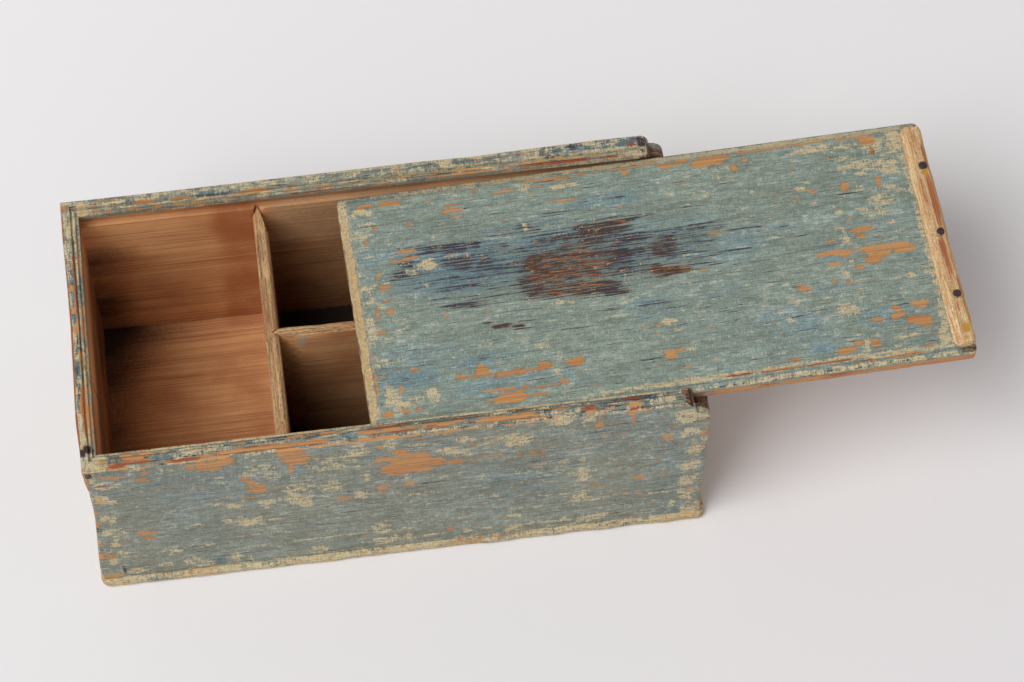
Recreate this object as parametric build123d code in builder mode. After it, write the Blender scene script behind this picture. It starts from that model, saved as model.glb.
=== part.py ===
"""Painted pine spice box whose lid slides in grooves, standing with the lid drawn part of the way out.

Millimetres. X runs along the box, towards the end where the lid comes out. Y runs to the back, and Z up.
The origin is the middle of the base board's underside.
"""

from math import asin, cos, radians, sin, tan
import os

from build123d import *

# The box as a whole
box_length = 300.0
box_width = 153.0
box_height = 120.0
base_thickness = 6.0
base_overhang = 2.5
base_corner_round = 5.0
base_edge_round = 2.6
side_wall = 10.0
end_wall = 8.5

# The groove that the lid runs in, and the ledge under it
ledge_drop = 12.5
side_groove_depth = 5.2
end_groove_depth = 3.5
sill_clearance = 0.5

# The moulding along the walls' top edges, from the lip over the groove outwards
rim_lip = 1.5
rim_bead = 1.8
rim_quirk = 0.8
rim_quirk_depth = 1.6
rim_bead_rise = 0.9
rim_lip_drop = 2.0
rim_edge_round = 1.5

# The two rounded lobes that end each side wall where the lid comes out
upper_lobe = 7.5
lower_lobe = 7.5
lobe_notch = 1.0

# Dovetails: tails on the side walls, pins on the end walls
pin_count = 6
pin_tip_width = 5.0
pin_flare = 8.0

# Dividers, which stand on the base with their pointed ends in V-grooves
divider_top_drop = 2.5
cross_divider_thickness = 7.0
left_bay_length = 84.2
cross_tip_inset = 2.7
cross_back_whittle = 12.0
cross_front_whittle = 5.0
shoulder_bevel = 1.2
long_divider_thickness = 6.0
front_bay_width = 59.4
long_tip_inset = 1.8
long_whittle = 11.0
point_depth = 2.7
point_root = 3.2
point_tip = 0.8
point_clearance = 0.3

# The lid, a board with bevelled edges
lid_edge_thickness = 5.5
lid_field_rise = 2.0
lid_side_bevel = 4.5
lid_end_bevel = 5.2
lid_side_overlap = 0.5
lid_end_inset = 1.5
lid_corner_round = 3.0
lid_field_corner_round = 1.5
lid_lift = 0.2
lid_headroom = 0.3
lid_stop_clearance = 0.5
lid_front_play = 0.3
lid_back_play = 0.4
lid_drawn_out = 129.0

# The batten nailed across the lid's end
batten_width = 10.2
batten_thickness = 4.2
batten_inner_edge = 1.4
batten_outer_edge = 3.0
batten_inner_slope = 3.4
batten_outer_slope = 1.4
batten_end_round = 3.0
batten_setback = 0.4
batten_forward = 1.1

# Hand-forged nails
nail_head = 4.4
nail_head_thickness = 0.9
nail_head_slope = 24.0
nail_head_sink = 0.3
nail_shank = 2.2
nail_shank_tip = 0.9
lid_nail_rows = (-36.5, -0.9, 38.0)
lid_nail_inset = 4.1
lid_nail_point_cover = 1.0
corner_nail_length = 20.0
corner_nail_drop = 3.9
corner_nail_inset = 3.7
base_nail_length = 24.0
base_nail_spacing = 105.0
base_end_nail_spacing = 66.0

# How far a cut's outline runs past the wood, and a round's largest share of the wood's thickness
cut_margin = 1.0
round_share = 0.45

# Faces and heights of the box that follow
half_length = box_length / 2
half_width = box_width / 2
inner_left = -half_length + end_wall
inner_right = half_length - end_wall
inner_front = -half_width + side_wall
inner_back = half_width - side_wall
ledge_z = box_height - ledge_drop
sill_z = ledge_z - sill_clearance
lid_thickness = lid_edge_thickness + lid_field_rise
groove_height = lid_lift + lid_thickness + lid_headroom
joint_height = ledge_z - base_thickness
pin_pitch = joint_height / pin_count

# Places of the dividers
divider_top = ledge_z - divider_top_drop
cross_left = inner_left + left_bay_length
cross_right = cross_left + cross_divider_thickness
cross_tip_x = cross_left + cross_tip_inset
long_front = inner_front + front_bay_width
long_back = long_front + long_divider_thickness
long_tip_y = long_back - long_tip_inset

# The shrunken lid lies askew in its grooves, as far as their play lets it
groove_span = box_width - 2 * (side_wall - side_groove_depth)
lid_width = inner_back - inner_front + 2 * lid_side_overlap
lid_end_seat = inner_left - end_groove_depth + lid_stop_clearance
lid_length = half_length - lid_end_inset - lid_end_seat
lid_skew = asin((groove_span - lid_front_play - lid_back_play - lid_width) / lid_length)
lid_span_x = lid_length * cos(lid_skew) + lid_width * sin(lid_skew)
lid_span_y = lid_length * sin(lid_skew) + lid_width * cos(lid_skew)
lid_plane = Plane(
    origin=(
        lid_end_seat + lid_drawn_out + lid_span_x / 2,
        inner_front - side_groove_depth + lid_front_play + lid_span_y / 2,
        ledge_z + lid_lift,
    ),
    x_dir=(cos(lid_skew), sin(lid_skew), 0),
    z_dir=(0, 0, 1),
)
batten_length = lid_width - 2 * lid_side_bevel
batten_right = lid_length / 2 - batten_setback
lid_nail_x = lid_length / 2 - lid_nail_inset
lid_nail_length = batten_thickness + lid_thickness - lid_nail_point_cover


def moulded_section(wall, groove_depth):
    """Draws a wall's section in the open sketch: x runs in from the outer face, and y is the height."""
    lip_y = box_height - rim_lip_drop
    quirk_y = box_height - rim_quirk_depth
    groove_top = ledge_z + groove_height
    bead_end = wall - rim_lip
    bead_start = bead_end - rim_bead
    quirk_start = bead_start - rim_quirk
    with BuildLine() as outline:
        Line((0, base_thickness), (0, box_height - rim_edge_round))
        CenterArc((rim_edge_round, box_height - rim_edge_round), rim_edge_round, 90, 90)
        Polyline(
            (rim_edge_round, box_height),
            (quirk_start, box_height),
            (quirk_start + rim_quirk / 2, quirk_y),
            (bead_start, quirk_y),
        )
        ThreePointArc(
            (bead_start, quirk_y),
            ((bead_start + bead_end) / 2, quirk_y + rim_bead_rise),
            (bead_end, quirk_y),
        )
        Polyline(
            (bead_end, quirk_y),
            (bead_end, lip_y),
            (wall, lip_y),
            (wall, groove_top),
            (wall - groove_depth, groove_top),
            (wall - groove_depth, ledge_z),
            (wall, ledge_z),
            (wall, base_thickness),
            (0, base_thickness),
        )
    make_face(outline.edges())


def pin_outlines(side, mode=Mode.ADD):
    """Draws the pins of the left (-1) or right (1) end wall, seen along Y, in the open sketch."""
    outer = side * half_length
    inner = side * (half_length - end_wall)
    tip = pin_tip_width / 2
    root = tip + end_wall * tan(radians(pin_flare))
    for row in range(pin_count):
        z = base_thickness + (row + 0.5) * pin_pitch
        with BuildLine() as outline:
            Polyline((outer, z - tip), (inner, z - root), (inner, z + root), (outer, z + tip), close=True)
        make_face(outline.edges(), mode=mode)


def cut_tail_sockets(side):
    """Cuts the open end wall away at its two ends, all but the pins."""
    for end in (-1, 1):
        with BuildSketch(Plane.XZ.offset(end * (half_width - side_wall))) as socket:
            with Locations((side * (half_length - end_wall / 2), base_thickness + joint_height / 2)):
                Rectangle(end_wall, joint_height)
            pin_outlines(side, Mode.SUBTRACT)
        extrude(socket.sketch, amount=end * side_wall, mode=Mode.SUBTRACT)


def lobe_waste():
    """Draws what is cut away above the two lobes at a side wall's right end, seen along Y."""
    above = box_height + cut_margin
    beyond = half_length + cut_margin
    notch_x = half_length - lower_lobe
    lobe_start = notch_x - upper_lobe
    shoulder_z = box_height - upper_lobe
    notch_z = shoulder_z - lobe_notch
    with BuildLine() as outline:
        Line((lobe_start, above), (lobe_start, box_height))
        CenterArc((lobe_start, shoulder_z), upper_lobe, 0, 90)
        Line((notch_x, shoulder_z), (notch_x, notch_z))
        CenterArc((notch_x, notch_z - lower_lobe), lower_lobe, 0, 90)
        Polyline(
            (half_length, notch_z - lower_lobe),
            (beyond, notch_z - lower_lobe),
            (beyond, above),
            (lobe_start, above),
        )
    make_face(outline.edges())


def cut_mitre(side, end_wall_side):
    """Cuts the open wall to the mitre at a left corner, above the ledge.

    side is the corner's: -1 front, 1 back. The end wall's half goes if end_wall_side is true, and the
    side wall's half otherwise.
    """
    corner = (-half_length, side * half_width)
    inner = (inner_left, side * (half_width - side_wall))
    beyond_x = -half_length - cut_margin
    beyond_y = side * (half_width + cut_margin)
    if end_wall_side:
        rest = ((beyond_x, side * (half_width - side_wall)), (beyond_x, side * half_width))
    else:
        rest = ((inner_left, beyond_y), (-half_length, beyond_y))
    with BuildSketch(Plane.XY.offset(ledge_z)) as waste:
        with BuildLine():
            Polyline(corner, inner, *rest, close=True)
        make_face()
    extrude(waste.sketch, amount=box_height, mode=Mode.SUBTRACT)


def point_outline(root, out, extra=0.0):
    """Corners of a divider's point in plan, from one flank to the other.

    root is the middle of the point at the wall's face, out is the way it points, and extra widens and
    deepens it for its V-groove.
    """
    across = Vector(-out.Y, out.X)
    half_root = across * (point_root / 2 + extra)
    half_tip = across * (point_tip / 2 + extra / 2)
    tip = root + out * (point_depth + extra)
    return [root - half_root, tip - half_tip, tip + half_tip, root + half_root]


def cut_v_groove(root, out):
    """Cuts the V-groove for a divider's point into the open part, from the base up to the ledge."""
    with BuildSketch(Plane.XY.offset(base_thickness)) as groove:
        with BuildLine():
            Polyline(*point_outline(root, out, point_clearance), close=True)
        make_face()
    extrude(groove.sketch, amount=joint_height, mode=Mode.SUBTRACT)


def forged_nail(plane, length, mode=Mode.ADD):
    """A square nail driven in against the plane's normal, its head sunk a little below the plane."""
    seat = plane.offset(-nail_head_sink)
    with BuildSketch(seat) as head:
        Rectangle(nail_head, nail_head)
    extrude(head.sketch, amount=nail_head_thickness, taper=nail_head_slope, mode=mode)
    with BuildSketch(seat) as shank_top:
        Rectangle(nail_shank, nail_shank)
    with BuildSketch(plane.offset(-length)) as shank_end:
        Rectangle(nail_shank_tip, nail_shank_tip)
    loft([shank_top.sketch, shank_end.sketch], mode=mode)


def cut_nail_holes(planes, length):
    """Cuts the holes that nails fill into the open part."""
    for plane in planes:
        forged_nail(plane, length, Mode.SUBTRACT)


# Where the nails go in: up through the base with their heads flush, in at the front left corner, and
# down through the batten and lid
base_nail_z = nail_head_thickness - nail_head_sink
side_nail_planes = {
    side: [
        Plane(origin=(x, side * (half_width - side_wall / 2), base_nail_z), z_dir=(0, 0, -1))
        for x in (-base_nail_spacing, 0, base_nail_spacing)
    ]
    for side in (-1, 1)
}
end_nail_planes = {
    side: [
        Plane(origin=(side * (half_length - end_wall / 2), y, base_nail_z), z_dir=(0, 0, -1))
        for y in (-base_end_nail_spacing / 2, base_end_nail_spacing / 2)
    ]
    for side in (-1, 1)
}
base_nail_planes = side_nail_planes[-1] + side_nail_planes[1] + end_nail_planes[-1] + end_nail_planes[1]
corner_nail_planes = [
    Plane(
        origin=(-half_length + corner_nail_inset, -half_width, box_height - corner_nail_drop),
        z_dir=(0, -1, 0),
    )
]
batten_top_z = lid_thickness + batten_thickness
lid_nail_planes = [
    Plane(
        origin=lid_plane.from_local_coords((lid_nail_x, row, batten_top_z)),
        x_dir=lid_plane.x_dir,
        z_dir=lid_plane.z_dir,
    )
    for row in lid_nail_rows
]

# Base board, standing out past the walls, with rounded edges
with BuildPart() as base_board:
    with BuildSketch(Plane.XY):
        RectangleRounded(box_length + 2 * base_overhang, box_width + 2 * base_overhang, base_corner_round)
    extrude(amount=base_thickness)
    levels = base_board.edges().group_by(Axis.Z)
    fillet(levels[0] + levels[-1], radius=min(base_edge_round, round_share * base_thickness))
    cut_nail_holes(base_nail_planes, base_nail_length)

# Front and back walls: one moulded section run along the box, with tails and lobed ends
side_walls = []
for side in (-1, 1):
    with BuildPart() as wall:
        section_plane = Plane(
            origin=(-half_length, side * half_width, 0), x_dir=(0, -side, 0), z_dir=(-side, 0, 0)
        )
        with BuildSketch(section_plane):
            moulded_section(side_wall, side_groove_depth)
        extrude(amount=-side * box_length)
        with BuildSketch(Plane.XZ):
            pin_outlines(-1)
            pin_outlines(1)
            lobe_waste()
        extrude(amount=box_width, both=True, mode=Mode.SUBTRACT)
        cut_mitre(side, end_wall_side=True)
        cut_v_groove(Vector(cross_tip_x, side * inner_back), Vector(0, side))
        cut_nail_holes(side_nail_planes[side], base_nail_length)
        if side == -1:
            cut_nail_holes(corner_nail_planes, corner_nail_length)
    side_walls.append(wall)
front_wall, back_wall = side_walls

# Left end wall, as high as the side walls and mitred to their moulding
with BuildPart() as left_end_wall:
    with BuildSketch(Plane(origin=(-half_length, half_width, 0), x_dir=(1, 0, 0), z_dir=(0, -1, 0))):
        moulded_section(end_wall, end_groove_depth)
    extrude(amount=box_width)
    cut_tail_sockets(-1)
    cut_mitre(-1, end_wall_side=False)
    cut_mitre(1, end_wall_side=False)
    cut_nail_holes(end_nail_planes[-1], base_nail_length)
    cut_nail_holes(corner_nail_planes, corner_nail_length)

# Right end wall, the low sill that the lid slides out over
with BuildPart() as right_end_wall:
    with BuildSketch(Plane.XY.offset(base_thickness)):
        with Locations((half_length - end_wall / 2, 0)):
            Rectangle(end_wall, box_width)
    extrude(amount=sill_z - base_thickness)
    cut_tail_sockets(1)
    cut_v_groove(Vector(inner_right, long_tip_y), Vector(1, 0))
    cut_nail_holes(end_nail_planes[1], base_nail_length)

# Divider across the box, whittled to a point at each end
with BuildPart() as cross_divider:
    left_shoulder = cross_tip_inset - point_root / 2
    with BuildSketch(Plane.XY.offset(base_thickness)):
        with BuildLine():
            Polyline(
                (cross_right, inner_back - cross_back_whittle),
                *point_outline(Vector(cross_tip_x, inner_back), Vector(0, 1)),
                (cross_left, inner_back - left_shoulder),
                (cross_left, inner_front + left_shoulder),
                *point_outline(Vector(cross_tip_x, inner_front), Vector(0, -1)),
                (cross_right, inner_front + cross_front_whittle),
                close=True,
            )
        make_face()
    extrude(amount=divider_top - base_thickness)
    top_edges = cross_divider.faces().sort_by(Axis.Z)[-1].edges()
    chamfer(top_edges.filter_by(Axis.Y).sort_by(Axis.X)[-1], length=shoulder_bevel)
    cut_v_groove(Vector(cross_right, long_tip_y), Vector(-1, 0))

# Divider along the box, from the cross divider to the sill wall
with BuildPart() as long_divider:
    back_shoulder = long_tip_inset - point_root / 2
    with BuildSketch(Plane.XY.offset(base_thickness)):
        with BuildLine():
            Polyline(
                (cross_right + long_whittle, long_front),
                (inner_right - long_whittle, long_front),
                *point_outline(Vector(inner_right, long_tip_y), Vector(1, 0)),
                (inner_right - back_shoulder, long_back),
                (cross_right + back_shoulder, long_back),
                *point_outline(Vector(cross_right, long_tip_y), Vector(-1, 0)),
                close=True,
            )
        make_face()
    extrude(amount=divider_top - base_thickness)

# Lid board: a flat tongue all round, and a field that rises from it in bevels
with BuildPart() as lid_board:
    with BuildSketch(lid_plane):
        RectangleRounded(lid_length, lid_width, lid_corner_round)
    extrude(amount=lid_edge_thickness)
    with BuildSketch(lid_plane.offset(lid_edge_thickness)):
        RectangleRounded(lid_length, lid_width, lid_corner_round)
    with BuildSketch(lid_plane.offset(lid_thickness)):
        with Locations((lid_end_bevel / 2, 0)):
            RectangleRounded(
                lid_length - lid_end_bevel, lid_width - 2 * lid_side_bevel, lid_field_corner_round
            )
    loft()
    cut_nail_holes(lid_nail_planes, lid_nail_length)

# Batten across the lid's end, sloping down towards the field
with BuildPart() as lid_batten:
    batten_left = batten_right - batten_width
    section_origin = lid_plane.from_local_coords((0, batten_length / 2 - batten_forward, lid_thickness))
    with BuildSketch(Plane(origin=section_origin, x_dir=lid_plane.x_dir, z_dir=-lid_plane.y_dir)):
        with BuildLine():
            Polyline(
                (batten_left, 0),
                (batten_right, 0),
                (batten_right, batten_outer_edge),
                (batten_right - batten_outer_slope, batten_thickness),
                (batten_left + batten_inner_slope, batten_thickness),
                (batten_left, batten_inner_edge),
                close=True,
            )
        make_face()
    extrude(amount=batten_length)
    fillet(lid_batten.edges().filter_by(Axis.Z), radius=batten_end_round)
    cut_nail_holes(lid_nail_planes, lid_nail_length)

# Nails, one node for each place that they hold together
nail_groups = {}
for name, planes, length in (
    ("lid_nails", lid_nail_planes, lid_nail_length),
    ("base_nails", base_nail_planes, base_nail_length),
    ("corner_nail", corner_nail_planes, corner_nail_length),
):
    with BuildPart() as nails:
        for plane in planes:
            forged_nail(plane, length)
    nail_groups[name] = nails

pieces = {
    "base_board": base_board,
    "front_wall": front_wall,
    "back_wall": back_wall,
    "left_end_wall": left_end_wall,
    "right_end_wall": right_end_wall,
    "cross_divider": cross_divider,
    "long_divider": long_divider,
    "lid_board": lid_board,
    "lid_batten": lid_batten,
    **nail_groups,
}

os.makedirs("parts", exist_ok=True)
for name, piece in pieces.items():
    piece.part.label = name
    export_step(piece.part, f"parts/{name}.step")
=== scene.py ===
"""Worn painted pine spice box: wood, paint, nails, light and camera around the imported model.

It is laid out as an add-on, with one operator for each group of pieces, and runs as a script. Places and
sizes are in millimetres in the model's own frame, unless a name or a property says otherwise.
"""

from math import cos, radians, sin

import bmesh
import bpy
import numpy as np
from bpy.props import FloatProperty, FloatVectorProperty, IntProperty, PointerProperty
from mathutils import Matrix, Vector


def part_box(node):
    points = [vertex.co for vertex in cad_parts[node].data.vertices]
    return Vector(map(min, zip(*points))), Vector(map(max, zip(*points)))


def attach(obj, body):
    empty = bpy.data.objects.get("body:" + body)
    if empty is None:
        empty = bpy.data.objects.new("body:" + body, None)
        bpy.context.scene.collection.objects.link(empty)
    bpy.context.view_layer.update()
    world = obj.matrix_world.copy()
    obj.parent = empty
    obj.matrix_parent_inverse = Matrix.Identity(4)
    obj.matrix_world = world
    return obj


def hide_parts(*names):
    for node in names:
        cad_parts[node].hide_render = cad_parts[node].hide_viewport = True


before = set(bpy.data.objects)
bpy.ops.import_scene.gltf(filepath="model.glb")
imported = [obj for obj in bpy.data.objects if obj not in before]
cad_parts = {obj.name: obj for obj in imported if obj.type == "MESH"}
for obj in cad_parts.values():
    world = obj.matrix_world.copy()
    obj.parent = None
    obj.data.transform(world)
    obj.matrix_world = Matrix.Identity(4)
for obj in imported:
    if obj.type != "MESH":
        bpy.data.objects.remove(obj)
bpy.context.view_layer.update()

bl_info = {
    "name": "Painted Spice Box",
    "version": (1, 0, 0),
    "blender": (4, 5, 0),
    "location": "3D View > Sidebar > Spice Box",
    "description": "Dresses a slide-lid spice box in worn paint over pine",
    "category": "Object",
}

MM = 0.001


def node_box(name):
    """A node's lowest and highest corners, in millimetres."""
    low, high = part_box(name)
    return np.array(low) / MM, np.array(high) / MM


def linear(hex_colour):
    """An sRGB hex colour as linear red, green, blue and alpha."""
    parts = [int(hex_colour[i : i + 2], 16) / 255 for i in (1, 3, 5)]
    return [p / 12.92 if p <= 0.04045 else ((p + 0.055) / 1.055) ** 2.4 for p in parts] + [1.0]


# Places that the frame gives
WALL_LOW, WALL_HIGH = node_box("front_wall")
BACK_LOW, BACK_HIGH = node_box("back_wall")
LEFT_HIGH = node_box("left_end_wall")[1]
SILL_LOW, SILL_HIGH = node_box("right_end_wall")
BASE_HIGH = node_box("base_board")[1]
CARCASS_LOW = np.array([WALL_LOW[0], WALL_LOW[1], BASE_HIGH[2]])
CARCASS_HIGH = np.array([WALL_HIGH[0], BACK_HIGH[1], WALL_HIGH[2]])
INNER_LOW = np.array([LEFT_HIGH[0], WALL_HIGH[1]])
INNER_HIGH = np.array([SILL_LOW[0], BACK_LOW[1]])
# The right end wall's top lies this far under the ledges, and the lid's grooves over them are this high
SILL_DROP = 0.5
GROOVE_HEIGHT = 8.0
LEDGE_Z = SILL_HIGH[2] + SILL_DROP
GROOVE_TOP_Z = LEDGE_Z + GROOVE_HEIGHT
# The box whose arrises are worn round reaches past the walls' feet, so these stay flat on the base board
CARCASS_FOOT = CARCASS_LOW - np.array([0, 0, 20])


def lid_axes():
    """The lid's own frame, read from its board: front left corner, skew in radians, length and width."""
    points = np.array([v.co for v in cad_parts["lid_board"].data.vertices]) / MM
    low, high = points.min(0), points.max(0)
    best = None
    for hundredth in range(400):
        skew = radians(hundredth / 100)
        turned_x = points[:, 0] * cos(skew) + points[:, 1] * sin(skew)
        turned_y = -points[:, 0] * sin(skew) + points[:, 1] * cos(skew)
        area = np.ptp(turned_x) * np.ptp(turned_y)
        if best is None or area < best[0]:
            best = (area, skew, turned_x.min(), turned_y.min(), np.ptp(turned_x), np.ptp(turned_y))
    return best[1:] + (low[2], high[2])


LID_SKEW, LID_LEFT, LID_FRONT, LID_LENGTH, LID_WIDTH, LID_BOTTOM_Z, LID_TOP_Z = lid_axes()


class SpiceBoxColours(bpy.types.PropertyGroup):
    """Colours of the paint, the wood and the iron."""

    def colour(name, description, hex_colour):
        return FloatVectorProperty(
            name=name,
            description=description,
            subtype="COLOR",
            size=4,
            min=0,
            max=1,
            default=linear(hex_colour),
        )

    lid_green: colour("Lid green", "The lid's paint where it is greener", "#879488")
    lid_blue: colour("Lid blue", "The lid's paint where it is bluer", "#6e8a92")
    wall_green: colour("Wall green", "The walls' paint where it is greyer", "#888c7e")
    wall_blue: colour("Wall blue", "The walls' paint where it is bluer", "#728586")
    deep_blue: colour("Deep blue", "The paint where it is thick, along the rims", "#556c71")
    bloom: colour("Bloom", "The paint where it has gone chalky", "#a9aea0")
    cream: colour("Cream coat", "The older coat under the blue", "#cabb96")
    cream_shade: colour("Cream shade", "The older coat where it is dirty", "#a39678")
    ochre: colour("Ochre coat", "The older coat where it has yellowed", "#b98c48")
    stain: colour("Stain", "Dark oily stain across the lid", "#3d343e")
    stain_brown: colour("Brown stain", "The stain where it shows wood", "#4d372c")
    stain_orange: colour("Orange stain", "Wood laid bare in the stain", "#a66c3e")
    pine: colour("Worn pine", "Pine where the paint has gone", "#c29260")
    pine_line: colour("Pine line", "Late wood lines in worn pine", "#a66d3f")
    red_pine: colour("Red pine", "Worn pine with red ground left in it", "#8f4f36")
    old_pine: colour("Old pine", "Unpainted pine inside the box", "#e0aa75")
    old_pine_dark: colour("Old pine line", "Late wood lines inside the box", "#a9744c")
    old_pine_red: colour("Reddened pine", "Pine inside the box that spices have reddened", "#a9683f")
    sawn_pine: colour("Sawn pine", "The dividers' sawn top edges", "#d0a978")
    sawn_pine_dark: colour("Sawn pine line", "Saw marks in the dividers' top edges", "#64462c")
    batten_cream: colour("Batten cream", "Paint on the lid's batten", "#d6bb8f")
    batten_red: colour("Batten red", "Red-brown streaks on the batten", "#a3603c")
    batten_wood: colour("Batten wood", "The batten where its paint is thin", "#b58350")
    batten_chalk: colour("Batten chalk", "The batten's paint where it is palest", "#e6d9b8")
    batten_ochre: colour("Batten ochre", "Yellow paint left on the batten", "#b98a35")
    pale_scrape: colour("Pale scrape", "Pine inside the box that is scraped or dusty", "#b69b7c")
    # Painted shade inside the box, and dirt on the dividers' sawn edges, share this dark colour
    shade_and_dirt: colour("Smoke", "Pine inside the box that has gone dark", "#30241d")
    grime: colour("Grime", "Dirt in the hollows", "#3a2b23")
    iron: colour("Iron", "Hand-forged nails", "#3d373b")
    rust: colour("Rust", "Brown scale on the nails", "#57473f")
    backdrop: colour("Backdrop", "The surface that the box stands on", "#e9e7e8")
    # Painted light: the backdrop is painted lighter behind the box, standing in for stronger light there
    backdrop_far_painted_light: colour("Far backdrop", "That surface behind the box", "#f4f4f4")
    sky: colour("Studio light", "The light from all around", "#f4f2f4")


class SpiceBoxSizes(bpy.types.PropertyGroup):
    """Sizes of the wear and of the wood's pattern."""

    def length(name, description, millimetres):
        return FloatProperty(name=name, description=description, default=millimetres * MM, unit="LENGTH")

    arris: length("Worn arris", "Usual radius of the worn outer edges", 1.1)
    waviness: length("Waviness", "How far hand-planed faces swell and dip", 0.25)
    face_step: length("Face step", "Spacing of the mesh on painted faces", 1.5)
    lid_step: length("Lid step", "Spacing of the mesh on the lid", 1.25)
    growth_ring: length("Growth ring", "Spacing of the grain lines", 1.6)
    nail_head: length("Nail head", "Width of a forged nail's head", 4.6)
    nail_seed: IntProperty(name="Nail seed", description="Seed of the nails' turns", default=7)


def colours():
    return bpy.context.scene.spice_box_colours


def sizes():
    return bpy.context.scene.spice_box_sizes
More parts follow.
